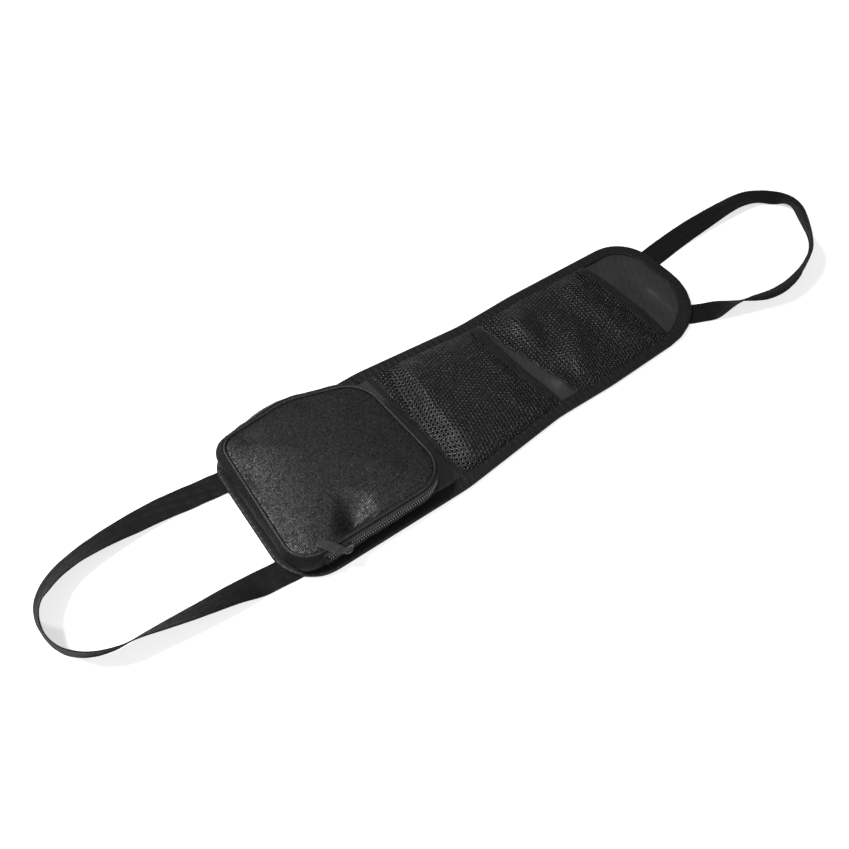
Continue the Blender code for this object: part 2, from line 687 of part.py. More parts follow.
LINING = material("lining", (0.030, 0.030, 0.032), 0.75)
BINDING = material("binding", (0.014, 0.014, 0.013), 0.80)
POCKET_FABRIC = material("pocket_fabric", (0.038, 0.038, 0.040), 0.72)
NET = material("net", (0.028, 0.028, 0.030), 0.55)
WEBBING = material("webbing", (0.012, 0.012, 0.012), 0.80)
PIPING = material("piping", (0.050, 0.050, 0.052), 0.60)
ZIP_TAPE = material("zip_tape", (0.016, 0.016, 0.017), 0.80)
TEETH = material("zip_teeth", (0.060, 0.060, 0.064), 0.35)
SLIDER_METAL = material("slider_metal", (0.040, 0.040, 0.042), 0.35, 0.8)
TAB_METAL = material("tab_metal", (0.070, 0.070, 0.074), 0.40, 0.6)

UPPER_SHAPE = (UPPER_SEAM_X, UPPER_MOUTH_X, UPPER_RISE, UPPER_MOUTH_RISE, UPPER_MOUTH_SAG)
MIDDLE_SHAPE = (MIDDLE_SEAM_X, MIDDLE_MOUTH_X, MIDDLE_RISE, MIDDLE_MOUTH_RISE, MIDDLE_MOUTH_SAG)

SLOTS = strap_slots("top", TOP_LOOP) + strap_slots("bottom", BOTTOM_LOOP)
build_panel(SLOTS)
build_binding(SLOTS)
build_strap("top_strap_loop", TOP_LOOP)
build_strap("bottom_strap_loop", BOTTOM_LOOP)
build_net("upper_net", UPPER_SHAPE, UPPER_HOLES)
build_net("middle_net", MIDDLE_SHAPE, MIDDLE_HOLES)
build_net_tape("upper_net_tape", UPPER_SHAPE, UPPER_HOLES)
build_net_tape("middle_net_tape", MIDDLE_SHAPE, MIDDLE_HOLES)
build_hem()
build_gussets()
build_zip_tapes()
build_teeth()
build_face()
build_piping()
HOME, FRONT = build_slider()
build_tab(HOME, FRONT)
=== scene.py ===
"""Car seat side organizer: the looks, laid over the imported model, in metres and +Z up.

A bound fabric backing carries two mesh pockets and one zipped pocket side by side,
and a webbing loop is sewn to each end. The backing lies flat with its pockets up.
"""

import json
import math

import bmesh
import bpy
from mathutils import Matrix, Vector, noise
from mathutils.kdtree import KDTree


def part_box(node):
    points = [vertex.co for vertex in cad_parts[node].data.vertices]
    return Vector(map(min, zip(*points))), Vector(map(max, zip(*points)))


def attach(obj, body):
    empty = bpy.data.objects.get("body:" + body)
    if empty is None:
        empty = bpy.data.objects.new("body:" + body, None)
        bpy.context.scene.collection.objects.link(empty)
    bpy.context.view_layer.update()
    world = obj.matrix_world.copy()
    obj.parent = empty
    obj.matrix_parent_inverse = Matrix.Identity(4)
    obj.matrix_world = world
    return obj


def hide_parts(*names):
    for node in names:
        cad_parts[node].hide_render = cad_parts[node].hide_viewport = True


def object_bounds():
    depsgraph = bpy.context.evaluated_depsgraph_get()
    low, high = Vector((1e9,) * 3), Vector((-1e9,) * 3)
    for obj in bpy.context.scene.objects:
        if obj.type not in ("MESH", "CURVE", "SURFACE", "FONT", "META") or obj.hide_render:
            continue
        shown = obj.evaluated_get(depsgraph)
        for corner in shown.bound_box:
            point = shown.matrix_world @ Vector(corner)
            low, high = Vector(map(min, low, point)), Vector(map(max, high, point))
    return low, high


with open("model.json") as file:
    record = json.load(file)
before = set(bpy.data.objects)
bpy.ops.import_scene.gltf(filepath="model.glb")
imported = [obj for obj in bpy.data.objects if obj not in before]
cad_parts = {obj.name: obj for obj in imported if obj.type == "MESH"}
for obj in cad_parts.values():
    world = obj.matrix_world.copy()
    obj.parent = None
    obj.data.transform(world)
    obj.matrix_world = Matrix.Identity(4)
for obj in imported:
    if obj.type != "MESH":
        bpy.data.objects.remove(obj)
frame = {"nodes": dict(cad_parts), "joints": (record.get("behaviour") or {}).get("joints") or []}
nodes = frame["nodes"]
cad_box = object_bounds()

# Camera
CAMERA_LOOK = Vector((-0.0710, -0.0030, 0.0))
CAMERA_AZIMUTH = math.radians(-38)
CAMERA_ELEVATION = math.radians(50)
CAMERA_DISTANCE = 0.989
CAMERA_LENS = 46.64

# Fabric and thread
STITCH_PITCH = 0.0032
STITCH_LENGTH = 0.0023
STITCH_RADIUS = 0.00028
MESH_PITCH = 0.0039
MESH_STRAND = 0.0020
MESH_CROWN = 0.00020
MESH_SHEET = 0.00038
MESH_TURN = math.radians(-12)

# Levels of the real layers, from the frame
BINDING_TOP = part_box("edge_binding")[1].z
PANEL_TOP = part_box("back_panel")[1].z
STRAP_THICKNESS = 0.0012
STRAP_WIDTH = 0.025
BINDING_WIDTH = 0.0125
ZIP_LEVEL = (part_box("zip_teeth_lower")[1].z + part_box("zip_teeth_upper")[0].z) / 2


# Mesh helpers
def new_piece(name, bm, material, body="root", smooth=True):
    """Turns a bmesh into a piece that rides on a body."""
    mesh = bpy.data.meshes.new(name)
    for face in bm.faces:
        face.smooth = smooth
    bm.to_mesh(mesh)
    bm.free()
    piece = bpy.data.objects.new(name, mesh)
    bpy.context.scene.collection.objects.link(piece)
    piece.data.materials.append(material)
    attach(piece, body)
    return piece


def settle(piece):
    """Applies a piece's modifiers to its mesh."""
    graph = bpy.context.evaluated_depsgraph_get()
    mesh = bpy.data.meshes.new_from_object(piece.evaluated_get(graph))
    piece.modifiers.clear()
    piece.data = mesh
    for polygon in mesh.polygons:
        polygon.use_smooth = True


def merged(node):
    """A CAD node's mesh as one joined bmesh."""
    bm = bmesh.new()
    bm.from_mesh(nodes[node].data)
    bmesh.ops.remove_doubles(bm, verts=bm.verts, dist=2e-6)
    return bm


def even_copy(node, name, material, voxel, soften=2, body="root"):
    """A copy of a CAD solid in small even faces, ready to be worked as cloth."""
    piece = new_piece(name, merged(node), material, body)
    remesh = piece.modifiers.new("even", "REMESH")
    remesh.mode = "VOXEL"
    remesh.voxel_size = voxel
    if soften:
        smooth = piece.modifiers.new("soften", "SMOOTH")
        smooth.factor = 0.5
        smooth.iterations = soften
    settle(piece)
    return piece


def bevelled_copy(node, name, material, width, body="root", segments=2):
    """A copy of a CAD solid with its edges rounded over."""
    bm = merged(node)
    bmesh.ops.dissolve_limit(bm, angle_limit=math.radians(0.6), verts=bm.verts, edges=bm.edges)
    piece = new_piece(name, bm, material, body)
    bevel = piece.modifiers.new("rounded", "BEVEL")
    bevel.width = width
    bevel.segments = segments
    bevel.limit_method = "ANGLE"
    bevel.angle_limit = math.radians(38)
    bevel.harden_normals = False
    settle(piece)
    return piece


def walk(edges):
    """Orders loose edges into closed loops of points, longest first."""
    left, loops = {v for e in edges for v in e.verts}, []
    while left:
        loop = [left.pop()]
        while True:
            ahead = [e.other_vert(loop[-1]) for e in loop[-1].link_edges]
            ahead = [v for v in ahead if v in left]
            if not ahead:
                break
            left.discard(ahead[0])
            loop.append(ahead[0])
        loops.append([v.co.copy() for v in loop])
    return sorted(loops, key=run_length, reverse=True)


def level_loops(node, height):
    """The closed outlines where a level plane cuts a CAD node, longest first."""
    bm = merged(node)
    bmesh.ops.bisect_plane(
        bm, geom=bm.verts[:] + bm.edges[:] + bm.faces[:], dist=1e-7, plane_co=(0, 0, height), plane_no=(0, 0, 1),
        clear_inner=True, clear_outer=True)
    loops = walk(bm.edges)
    bm.free()
    return loops


def run_length(points):
    return sum((b - a).length for a, b in zip(points, points[1:]))


def even_points(points, step, closed=False):
    """Points at even steps along a polyline."""
    points = points + points[:1] if closed else points
    total = run_length(points)
    count = max(2, round(total / step))
    out, i, start = [], 0, 0.0
    for k in range(count if closed else count + 1):
        target = total * k / count
        while i < len(points) - 2 and target > start + (points[i + 1] - points[i]).length:
            start += (points[i + 1] - points[i]).length
            i += 1
        span = (points[i + 1] - points[i]).length
        out.append(points[i].lerp(points[i + 1], min(1.0, (target - start) / max(span, 1e-9))))
    return out


def smoothed(points, closed=False, rounds=2):
    for _ in range(rounds):
        n = len(points)
        points = [
            p if not closed and i in (0, n - 1) else (points[i - 1] + p * 2 + points[(i + 1) % n]) / 4
            for i, p in enumerate(points)]
    return points


def headings(points, closed=False):
    """The direction of travel at each point."""
    n = len(points)
    out = []
    for i in range(n):
        ahead = points[(i + 1) % n] if closed else points[min(i + 1, n - 1)]
        behind = points[i - 1] if closed else points[max(i - 1, 0)]
        out.append((ahead - behind).normalized())
    return out


def anticlockwise(loop):
    area = sum(a.x * b.y - b.x * a.y for a, b in zip(loop, loop[1:] + loop[:1]))
    return loop if area > 0 else loop[::-1]


def sweep(rings, closed=False):
    """Draws the first ring's outline through all the other rings, with lengths and widths kept as UVs."""
    sides = len(rings[0])
    bm = bmesh.new()
    uv = bm.loops.layers.uv.new("along")
    around = [0.0]
    for j in range(sides):
        around.append(around[-1] + (rings[0][(j + 1) % sides] - rings[0][j]).length)
    loop = bmesh.ops.create_circle(bm, segments=sides, radius=1.0)["verts"]
    for vert, place in zip(loop, rings[0]):
        vert.co = place
    first, travelled = loop, 0.0

    def mark(faces, old, new, start, end):
        spots = {v: (j, start) for j, v in enumerate(old)} | {v: (j, end) for j, v in enumerate(new)}
        for face in faces:
            last = {spots[c.vert][0] for c in face.loops} >= {0, sides - 1} and sides > 2
            for corner in face.loops:
                j, length = spots[corner.vert]
                corner[uv].uv = (length, around[sides if last and j == 0 else j])

    for ring in rings[1:]:
        edges = [bm.edges.get((loop[j], loop[(j + 1) % sides])) for j in range(sides)]
        made = bmesh.ops.extrude_edge_only(bm, edges=edges)["geom"]
        fresh = {g for g in made if isinstance(g, bmesh.types.BMVert)}
        above = [next(e.other_vert(v) for e in v.link_edges if e.other_vert(v) in fresh) for v in loop]
        for vert, place in zip(above, ring):
            vert.co = place
        step = sum((a.co - b.co).length for a, b in zip(above, loop)) / sides
        mark([g for g in made if isinstance(g, bmesh.types.BMFace)], loop, above, travelled, travelled + step)
        travelled += step
        loop = above
    if closed:
        step = sum((a.co - b.co).length for a, b in zip(first, loop)) / sides
        faces = []
        for j in range(sides):
            k = (j + 1) % sides
            faces.append(bm.faces.new((loop[j], loop[k], first[k], first[j])))
        mark(faces, loop, first, travelled, travelled + step)
    else:
        for ends in (first, loop):
            bmesh.ops.holes_fill(bm, edges=[bm.edges.get((ends[j], ends[(j + 1) % sides])) for j in range(sides)])
    bmesh.ops.recalc_face_normals(bm, faces=bm.faces)
    return bm


def tube(points, radius, sides=10, closed=False, up=Vector((0, 0, 1))):
    """Rings of a round cord that follows the points."""
    rings = []
    for point, heading in zip(points, headings(points, closed)):
        out = heading.cross(up).normalized()
        top = out.cross(heading).normalized()
        rings.append([
            point + (out * math.cos(math.tau * j / sides) + top * math.sin(math.tau * j / sides)) * radius
            for j in range(sides)])
    return rings


def ruffle(piece, amount, size, seed, stretch=(1, 1, 1), where=None):
    """Moves a piece's surface in and out in soft random folds."""
    shift = Vector((seed * 7.13, seed * 3.71, seed * 5.27))
    mesh = piece.data
    offsets = []
    for vert in mesh.vertices:
        spot = Vector(c / (size * s) for c, s in zip(vert.co, stretch)) + shift
        share = where(vert.co) if where else 1.0
        offsets.append(vert.normal * noise.noise(spot) * amount * share)
    for vert, offset in zip(mesh.vertices, offsets):
        vert.co += offset
    mesh.update()


def bead(segments, rings, size):
    """One small closed bead as a mesh, to be set down many times."""
    bm = bmesh.new()
    bmesh.ops.create_uvsphere(bm, u_segments=segments, v_segments=rings, radius=1.0,
                              matrix=Matrix.Diagonal((*size, 1)) @ Matrix.Rotation(math.pi / 2, 4, "Y"))
    mesh = bpy.data.meshes.new("bead")
    bm.to_mesh(mesh)
    bm.free()
    return mesh


def set_beads(name, mesh, places, material, body="root"):
    """Copies of a bead at each place, joined in one piece."""
    bm = bmesh.new()
    for place in places:
        mesh.transform(place)
        bm.from_mesh(mesh)
        mesh.transform(place.inverted())
    return new_piece(name, bm, material, body)


def turned(spot, heading, up):
    """The frame of something small that lies along a run and faces up."""
    across = up.cross(heading).normalized()
    return Matrix.Translation(spot) @ Matrix((heading, across, heading.cross(across))).transposed().to_4x4()


def stitches(name, runs, material, pitch=STITCH_PITCH, body="root"):
    """Short raised stitches along runs of (points, lift direction, closed)."""
    mesh = bead(6, 4, (STITCH_LENGTH / 2, STITCH_RADIUS * 1.3, STITCH_RADIUS))
    places = []
    for points, up, closed in runs:
        spots = even_points(points, pitch, closed)
        places += [turned(spot, heading, up) for spot, heading in zip(spots, headings(spots, closed))]
    return set_beads(name, mesh, places, material, body)


# Node groups and materials
def math_node(tree, operation, *values):
    node = tree.nodes.new("ShaderNodeMath")
    node.operation = operation
    for socket, value in zip(node.inputs, values):
        if isinstance(value, bpy.types.NodeSocket):
            tree.links.new(value, socket)
        else:
            socket.default_value = value
    return node.outputs[0]


def new_group(name, inputs, outputs):
    group = bpy.data.node_groups.new(name, "ShaderNodeTree")
    for label, kind, value in inputs:
        socket = group.interface.new_socket(label, in_out="INPUT", socket_type=kind)
        if value is not None:
            socket.default_value = value
    for label, kind in outputs:
        group.interface.new_socket(label, in_out="OUTPUT", socket_type=kind)
    return group, group.nodes.new("NodeGroupInput").outputs, group.nodes.new("NodeGroupOutput").inputs


def make_weave():
    """Threads crossing over and under: each output is 1 at a thread's crown and 0 in the gaps."""
    group, given, out = new_group(
        "weave",
        (("Vector", "NodeSocketVector", None), ("Across", "NodeSocketFloat", 0.001),
         ("Along", "NodeSocketFloat", 0.001), ("Step", "NodeSocketFloat", 1.0)),
        (("Height", "NodeSocketFloat"), ("Fleck", "NodeSocketFloat"), ("Speckle", "NodeSocketFloat")))
    spread = group.nodes.new("ShaderNodeSeparateXYZ")
    group.links.new(given["Vector"], spread.inputs[0])
    slope = math_node(group, "MULTIPLY", spread.outputs[2], 0.7)
    u = math_node(group, "DIVIDE", math_node(group, "ADD", spread.outputs[0], slope), given["Across"])
    v = math_node(group, "DIVIDE", math_node(group, "ADD", spread.outputs[1], spread.outputs[2]), given["Along"])

    def crown(own, other, shift):
        round_top = math_node(group, "ABSOLUTE", math_node(group, "SINE", math_node(group, "MULTIPLY", own, math.pi)))
        lane = math_node(group, "ADD", math_node(group, "FLOOR", own), shift)
        phase = math_node(group, "MULTIPLY", math_node(group, "ADD", other, lane), given["Step"])
        over = math_node(group, "COSINE", math_node(group, "MULTIPLY", phase, math.pi))
        over = math_node(group, "MULTIPLY_ADD", over, 0.5, 0.5)
        return math_node(group, "MULTIPLY", round_top, over)

    height = math_node(group, "MAXIMUM", crown(u, v, 0.0), crown(v, u, 1.0))
    group.links.new(height, out["Height"])
    cells = group.nodes.new("ShaderNodeTexVoronoi")
    group.links.new(given["Vector"], cells.inputs["Vector"])
    cells.inputs["Scale"].default_value = 860.0
    chance = group.nodes.new("ShaderNodeSeparateColor")
    group.links.new(cells.outputs["Color"], chance.inputs[0])
    # Rare spots: raised flecks in the bump, and the mask of the painted glints in cloth().
    rare = math_node(group, "MULTIPLY", math_node(group, "SUBTRACT", chance.outputs[0], 0.40), 1.7)
    spots = math_node(group, "MULTIPLY", math_node(group, "SUBTRACT", 0.50, cells.outputs["Distance"]), 2.0)
    spots = math_node(group, "MULTIPLY", math_node(group, "MAXIMUM", spots, 0.0), math_node(group, "MAXIMUM", rare, 0.0))
    group.links.new(spots, out["Fleck"])
    group.links.new(chance.outputs[1], out["Speckle"])
    return group


def make_cloudy():
    """Slow, soft unevenness of a dyed cloth, from 0 to 1."""
    group, given, out = new_group(
        "cloudy", (("Vector", "NodeSocketVector", None), ("Size", "NodeSocketFloat", 0.03)),
        (("Value", "NodeSocketFloat"),))
    cloud = group.nodes.new("ShaderNodeTexNoise")
    group.links.new(given["Vector"], cloud.inputs["Vector"])
    group.links.new(math_node(group, "DIVIDE", 1.0, given["Size"]), cloud.inputs["Scale"])
    cloud.inputs["Detail"].default_value = 3.0
    group.links.new(cloud.outputs["Fac"], out["Value"])
    return group


WEAVE = make_weave()
CLOUDY = make_cloudy()


def two_tones(tree, share, dark, light):
    mix = tree.nodes.new("ShaderNodeMix")
    mix.data_type = "RGBA"
    for socket, value in ((mix.inputs[6], dark), (mix.inputs[7], light)):
        if isinstance(value, bpy.types.NodeSocket):
            tree.links.new(value, socket)
        else:
            socket.default_value = (*value, 1)
    tree.links.new(share, mix.inputs[0])
    return mix.outputs[2]


def cloth(name, dark, light, painted_glint, across, along, step=1.0, bump=0.0003, rough=0.75, sheen=0.0, specular=0.3,
          turn=0.0, use_uv=False, cloud_size=0.03, painted_glint_amount=0.6, speckle=0.3, rough_swing=0.1,
          rough_speckle=0.0, gloss_speckle=0.0):
    """A woven cloth: two tones, darker in the gaps between threads as painted shade, raised crowns, rare flecks of
    painted glint and slow unevenness.
    """
    material = bpy.data.materials.new(name)
    material.use_nodes = True
    tree = material.node_tree
    shader = tree.nodes["Principled BSDF"]
    place = tree.nodes.new("ShaderNodeTexCoord")
    mapping = tree.nodes.new("ShaderNodeMapping")
    mapping.inputs["Rotation"].default_value[2] = turn
    tree.links.new(place.outputs["UV" if use_uv else "Object"], mapping.inputs["Vector"])
    weave = tree.nodes.new("ShaderNodeGroup")
    weave.node_tree = WEAVE
    tree.links.new(mapping.outputs[0], weave.inputs["Vector"])
    weave.inputs["Across"].default_value = across
    weave.inputs["Along"].default_value = along
    weave.inputs["Step"].default_value = step
    cloudy = tree.nodes.new("ShaderNodeGroup")
    cloudy.node_tree = CLOUDY
    tree.links.new(place.outputs["Object"], cloudy.inputs["Vector"])
    cloudy.inputs["Size"].default_value = cloud_size
    # Tone: slow unevenness, plus painted shade that darkens the gaps between threads and lightens their crowns, plus
    # random speckle.
    tone_and_gap_shade = math_node(tree, "MULTIPLY_ADD", cloudy.outputs[0], 0.5, math_node(tree, "MULTIPLY", weave.outputs["Height"], 0.5))
    tone_and_gap_shade = math_node(tree, "MULTIPLY_ADD", math_node(tree, "SUBTRACT", weave.outputs["Speckle"], 0.4), speckle, tone_and_gap_shade)
    tone_and_gap_shade = math_node(tree, "MINIMUM", math_node(tree, "MAXIMUM", tone_and_gap_shade, 0.0), 1.0)
    color = two_tones(tree, tone_and_gap_shade, dark, light)
    # Painted glint: rare cells of the base colour mixed toward a light colour, standing in for sparkle off the threads.
    painted_glint_mask = math_node(tree, "MINIMUM", math_node(tree, "MULTIPLY", weave.outputs["Fleck"], painted_glint_amount), 1.0)
    tree.links.new(two_tones(tree, painted_glint_mask, color, painted_glint), shader.inputs["Base Color"])
    roughness = math_node(tree, "MULTIPLY_ADD", weave.outputs["Height"], -rough_swing, rough)
    if rough_speckle:
        uneven = math_node(tree, "SUBTRACT", 0.5, weave.outputs["Speckle"])
        roughness = math_node(tree, "MULTIPLY_ADD", uneven, rough_speckle, roughness)
    tree.links.new(roughness, shader.inputs["Roughness"])
    raised = tree.nodes.new("ShaderNodeBump")
    raised.inputs["Strength"].default_value = 1.0
    raised.inputs["Distance"].default_value = bump
    grain = math_node(tree, "MULTIPLY_ADD", weave.outputs["Fleck"], 0.9, weave.outputs["Height"])
    tree.links.new(grain, raised.inputs["Height"])
    tree.links.new(raised.outputs[0], shader.inputs["Normal"])
    shader.inputs["Specular IOR Level"].default_value = specular
    if gloss_speckle:
        uneven = math_node(tree, "SUBTRACT", weave.outputs["Speckle"], 0.5)
        gloss = math_node(tree, "MULTIPLY_ADD", uneven, gloss_speckle * 2 * specular, specular)
        tree.links.new(gloss, shader.inputs["Specular IOR Level"])
    if sheen:
        shader.inputs["Sheen Weight"].default_value = sheen
        shader.inputs["Sheen Roughness"].default_value = 0.5
    return material


def hard(name, color, rough, metallic=0.0, specular=0.5, grain=0.00004, grain_size=0.0006, swing=0.15):
    """A moulded or cast finish with fine grain, lighter and rougher where the grain stands up."""
    material = bpy.data.materials.new(name)
    material.use_nodes = True
    tree = material.node_tree
    shader = tree.nodes["Principled BSDF"]
    place = tree.nodes.new("ShaderNodeTexCoord")
    fine = tree.nodes.new("ShaderNodeTexNoise")
    tree.links.new(place.outputs["Object"], fine.inputs["Vector"])
    fine.inputs["Scale"].default_value = 1 / grain_size
    fine.inputs["Detail"].default_value = 3.0
    mix = tree.nodes.new("ShaderNodeMix")
    mix.data_type = "RGBA"
    mix.inputs[6].default_value = (*(c * 0.75 for c in color), 1)
    mix.inputs[7].default_value = (*(c * 1.3 for c in color), 1)
    tree.links.new(fine.outputs["Fac"], mix.inputs[0])
    tree.links.new(mix.outputs[2], shader.inputs["Base Color"])
    tree.links.new(math_node(tree, "MULTIPLY_ADD", fine.outputs["Fac"], swing, rough - swing / 2), shader.inputs["Roughness"])
    raised = tree.nodes.new("ShaderNodeBump")
    raised.inputs["Distance"].default_value = grain
    tree.links.new(fine.outputs["Fac"], raised.inputs["Height"])
    tree.links.new(raised.outputs[0], shader.inputs["Normal"])
    shader.inputs["Metallic"].default_value = metallic
    shader.inputs["Specular IOR Level"].default_value = specular
    return material


# The third colour of each cloth is its painted glint.
LINING = cloth("lining_cloth", (0.005, 0.005, 0.0053), (0.024, 0.024, 0.025), (0.05, 0.05, 0.05), 0.0018, 0.0160,
               step=0.5, bump=0.00014, rough=0.45, turn=math.radians(38), painted_glint_amount=0.2, specular=0.95, cloud_size=0.02)
POCKET_CLOTH = cloth("pocket_cloth", (0.0004, 0.0004, 0.0005), (0.0094, 0.0094, 0.0099), (0.06, 0.06, 0.06), 0.0012, 0.0012,
                     bump=0.00018, rough=0.52, specular=0.56, turn=math.radians(25), painted_glint_amount=1.0, speckle=1.2,
                     rough_speckle=0.30, gloss_speckle=0.55)
# Painted light: a lighter copy of the wall cloth, so that the near wall, which the lamps leave dark, shows brighter.
SIDE_CLOTH_LIT = cloth("side_cloth_lit", (0.0030, 0.0030, 0.0030), (0.0120, 0.0120, 0.0115), (0.09, 0.09, 0.09), 0.0016, 0.0016,
                   bump=0.0003, rough=0.55, specular=0.45, painted_glint_amount=0.9)
# Painted shade: a darker copy of the wall cloth for the hinged end wall, the seams and the zip end patch, where shade
# falls.
HINGE_CLOTH_SHADED = cloth("hinge_cloth_shaded", (0.0015, 0.0015, 0.0015), (0.0048, 0.0048, 0.0048), (0.04, 0.04, 0.04), 0.0016, 0.0016,
                    bump=0.0003, rough=0.65, specular=0.16, painted_glint_amount=0.7)
BINDING_TAPE = cloth("binding_tape", (0.0022, 0.0025, 0.0022), (0.0100, 0.0110, 0.0097), (0.03, 0.03, 0.028), 0.0017,
                     0.0120, step=0.5, bump=0.00028, rough=0.60, use_uv=True, specular=0.3, painted_glint_amount=0.6, speckle=0.8)
NET_TAPE = cloth("net_tape", (0.0025, 0.0025, 0.0025), (0.008, 0.008, 0.008), (0.04, 0.04, 0.04), 0.0012, 0.0012,
                 bump=0.0003, rough=0.6, specular=0.3, painted_glint_amount=0.5)
WEBBING = cloth("webbing", (0.0014, 0.0016, 0.0015), (0.0056, 0.0061, 0.0059), (0.02, 0.02, 0.02), 0.0120, 0.0021,
                step=0.5, bump=0.00035, rough=0.66, use_uv=True, specular=0.22, painted_glint_amount=0.5)
NET_YARN = cloth("net_yarn", (0.001, 0.001, 0.0012), (0.0050, 0.0050, 0.0058), (0.09, 0.09, 0.10), 0.0013, 0.0009,
                 bump=0.00009, rough=0.34, rough_swing=0.06, specular=0.55, painted_glint_amount=0.8, speckle=0.5, cloud_size=0.012)
PIPING_CLOTH = cloth("piping_cloth", (0.003, 0.003, 0.003), (0.012, 0.012, 0.012), (0.09, 0.09, 0.09), 0.0012, 0.0012,
                     bump=0.0002, rough=0.48, use_uv=True, specular=0.45)
ZIP_TAPE = cloth("zip_tape", (0.003, 0.003, 0.003), (0.010, 0.010, 0.010), (0.04, 0.04, 0.04), 0.0007, 0.0007,
                 bump=0.0002, rough=0.7)
THREAD = cloth("thread", (0.006, 0.006, 0.006), (0.020, 0.020, 0.020), (0.05, 0.05, 0.05), 0.0005, 0.0005,
               bump=0.0001, rough=0.5)
# Painted glint: the black coil is lightened to mid grey so that its teeth show as bright dots.
TEETH_PAINTED_GLINT = hard("coil_nylon_painted_glint", (0.14, 0.14, 0.14), 0.20, specular=0.8, grain=0.00001)
SLIDER = hard("slider_paint", (0.13, 0.13, 0.135), 0.26, metallic=0.8)
TAB = hard("tab_rubber", (0.026, 0.026, 0.027), 0.50, specular=0.30, grain=0.00006, grain_size=0.0004)


# Backing
PUFFS = (  # where the padding stands up or sinks: centre, reach across and along, height
    (0.059, -0.042, 0.009, 0.014, 0.0040), (0.056, 0.000, 0.010, 0.022, 0.0012), (0.203, -0.012, 0.011, 0.036, -0.0032),
    (0.200, 0.030, 0.008, 0.010, 0.0014), (0.190, -0.040, 0.008, 0.012, 0.0012), (-0.100, -0.060, 0.012, 0.014, 0.0012))


def padding_rise(x, y):
    return sum(high * math.exp(-((x - px) / rx) ** 2 - ((y - py) / ry) ** 2) for px, py, rx, ry, high in PUFFS)


panel = even_copy("back_panel", "backing", LINING, 0.0018, soften=3)
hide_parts("back_panel")
for vert in panel.data.vertices:
    if vert.co.z > 0.6 * PANEL_TOP:
        vert.co.z += padding_rise(vert.co.x, vert.co.y)
ruffle(panel, 0.0011, 0.022, 1, where=lambda p: 1.0 if p.z > 0.6 * PANEL_TOP else 0.0)


# Webbing loops
def strap_stations(node):
    """Centre and across direction along a CAD strap, followed from its far sewn end in small steps."""
    bm = merged(node)
    flat = bm.copy()
    bmesh.ops.dissolve_limit(flat, angle_limit=math.radians(0.4), verts=flat.verts, edges=flat.edges)
    caps = []
    for face in flat.faces:
        spread = max((a.co - b.co).length for a in face.verts for b in face.verts)
        if len(face.verts) == 8 and abs(spread - STRAP_WIDTH) < 0.0002 and abs(face.normal.z) < 0.05:
            caps.append((face.calc_center_median().y, face.calc_center_median(), face.normal.copy()))
    place, heading = max(caps)[1], -max(caps)[2]
    flat.free()
    step, stations = 0.0030, []
    spot = place + heading * 0.0002
    while True:
        slice_ = bm.copy()
        bmesh.ops.bisect_plane(
            slice_, geom=slice_.verts[:] + slice_.edges[:] + slice_.faces[:], dist=1e-7, plane_co=spot,
            plane_no=heading, clear_inner=True, clear_outer=True)
        pairs = [max(((a, b) for a in loop for b in loop), key=lambda d: (d[0] - d[1]).length)
                 for loop in walk(slice_.edges)]
        slice_.free()
        near = [(((a + b) / 2 - spot).length, (a + b) / 2, (a - b).normalized()) for a, b in pairs
                if (a - b).length < 1.25 * STRAP_WIDTH]
        if not near or min(near)[0] > 0.008:
            break
        _, center, across = min(near, key=lambda d: d[0])
        if stations:
            heading = (center - stations[-1][0]).normalized()
            across = across if across.dot(stations[-1][1]) > 0 else -across
        stations.append((center, across))
        spot = center + heading * step
    bm.free()
    return stations


def blend_stations(stations, rounds=2):
    """Takes the small facets out of the traced stations, and keeps both ends."""
    centers = smoothed([c for c, _ in stations], rounds=rounds)
    acrosses = smoothed([a for _, a in stations], rounds=rounds)
    fine = []
    for i in range(len(stations) - 1):
        for t in (0.0, 0.5):
            fine.append((centers[i].lerp(centers[i + 1], t), acrosses[i].lerp(acrosses[i + 1], t).normalized()))
    return fine + [(centers[-1], acrosses[-1].normalized())]


def build_strap(node, name, seed):
    stations = blend_stations(strap_stations(node))
    cols, half, thin = 20, STRAP_WIDTH / 2, STRAP_THICKNESS / 2
    rings = []
    for i, ((center, across), heading) in enumerate(zip(stations, headings([s[0] for s in stations]))):
        up = heading.cross(across).normalized()
        top, low = [], []
        for j in range(cols + 1):
            share = 2 * j / cols - 1
            rib = 0.00010 * (1 if j % 2 else -1)
            edge = thin * (0.82 if abs(share) < 0.96 else 0.45)
            wave = 0.0004 * noise.noise(center * 30 + Vector((seed, share * 1.5, 0)))
            top.append(center + across * half * share + up * (edge + rib * (abs(share) < 0.9) + wave))
            low.append(center + across * half * share - up * (edge + rib * (abs(share) < 0.9) - wave))
        rings.append(top + low[::-1])
    strap = new_piece(name, sweep(rings), WEBBING)
    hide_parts(node)
    return strap, stations


bottom_strap, bottom_stations = build_strap("bottom_strap_loop", "bottom_webbing", 1.0)
top_strap, top_stations = build_strap("top_strap_loop", "top_webbing", 5.0)
strap_points = [s[0] for s in bottom_stations + top_stations]

# Edge binding
outer_loop = smoothed(even_points(anticlockwise(level_loops("edge_binding", BINDING_TOP / 2)[0]), 0.0022, True), True, 2)
outer_loop = [Vector((p.x, p.y, 0)) for p in outer_loop]


def inset_point(point, heading, inset):
    """A point moved in from an anticlockwise outline."""
    return point + Vector((-heading.y, heading.x, 0)) * inset


def near_strap(point):
    """1 where a strap passes under the binding, falling to 0 beside it."""
    away = min((point.xy - p.xy).length for p in strap_points if p.z < 0.002)
    return max(0.0, min(1.0, (STRAP_WIDTH / 2 + 0.004 - away) / 0.003))


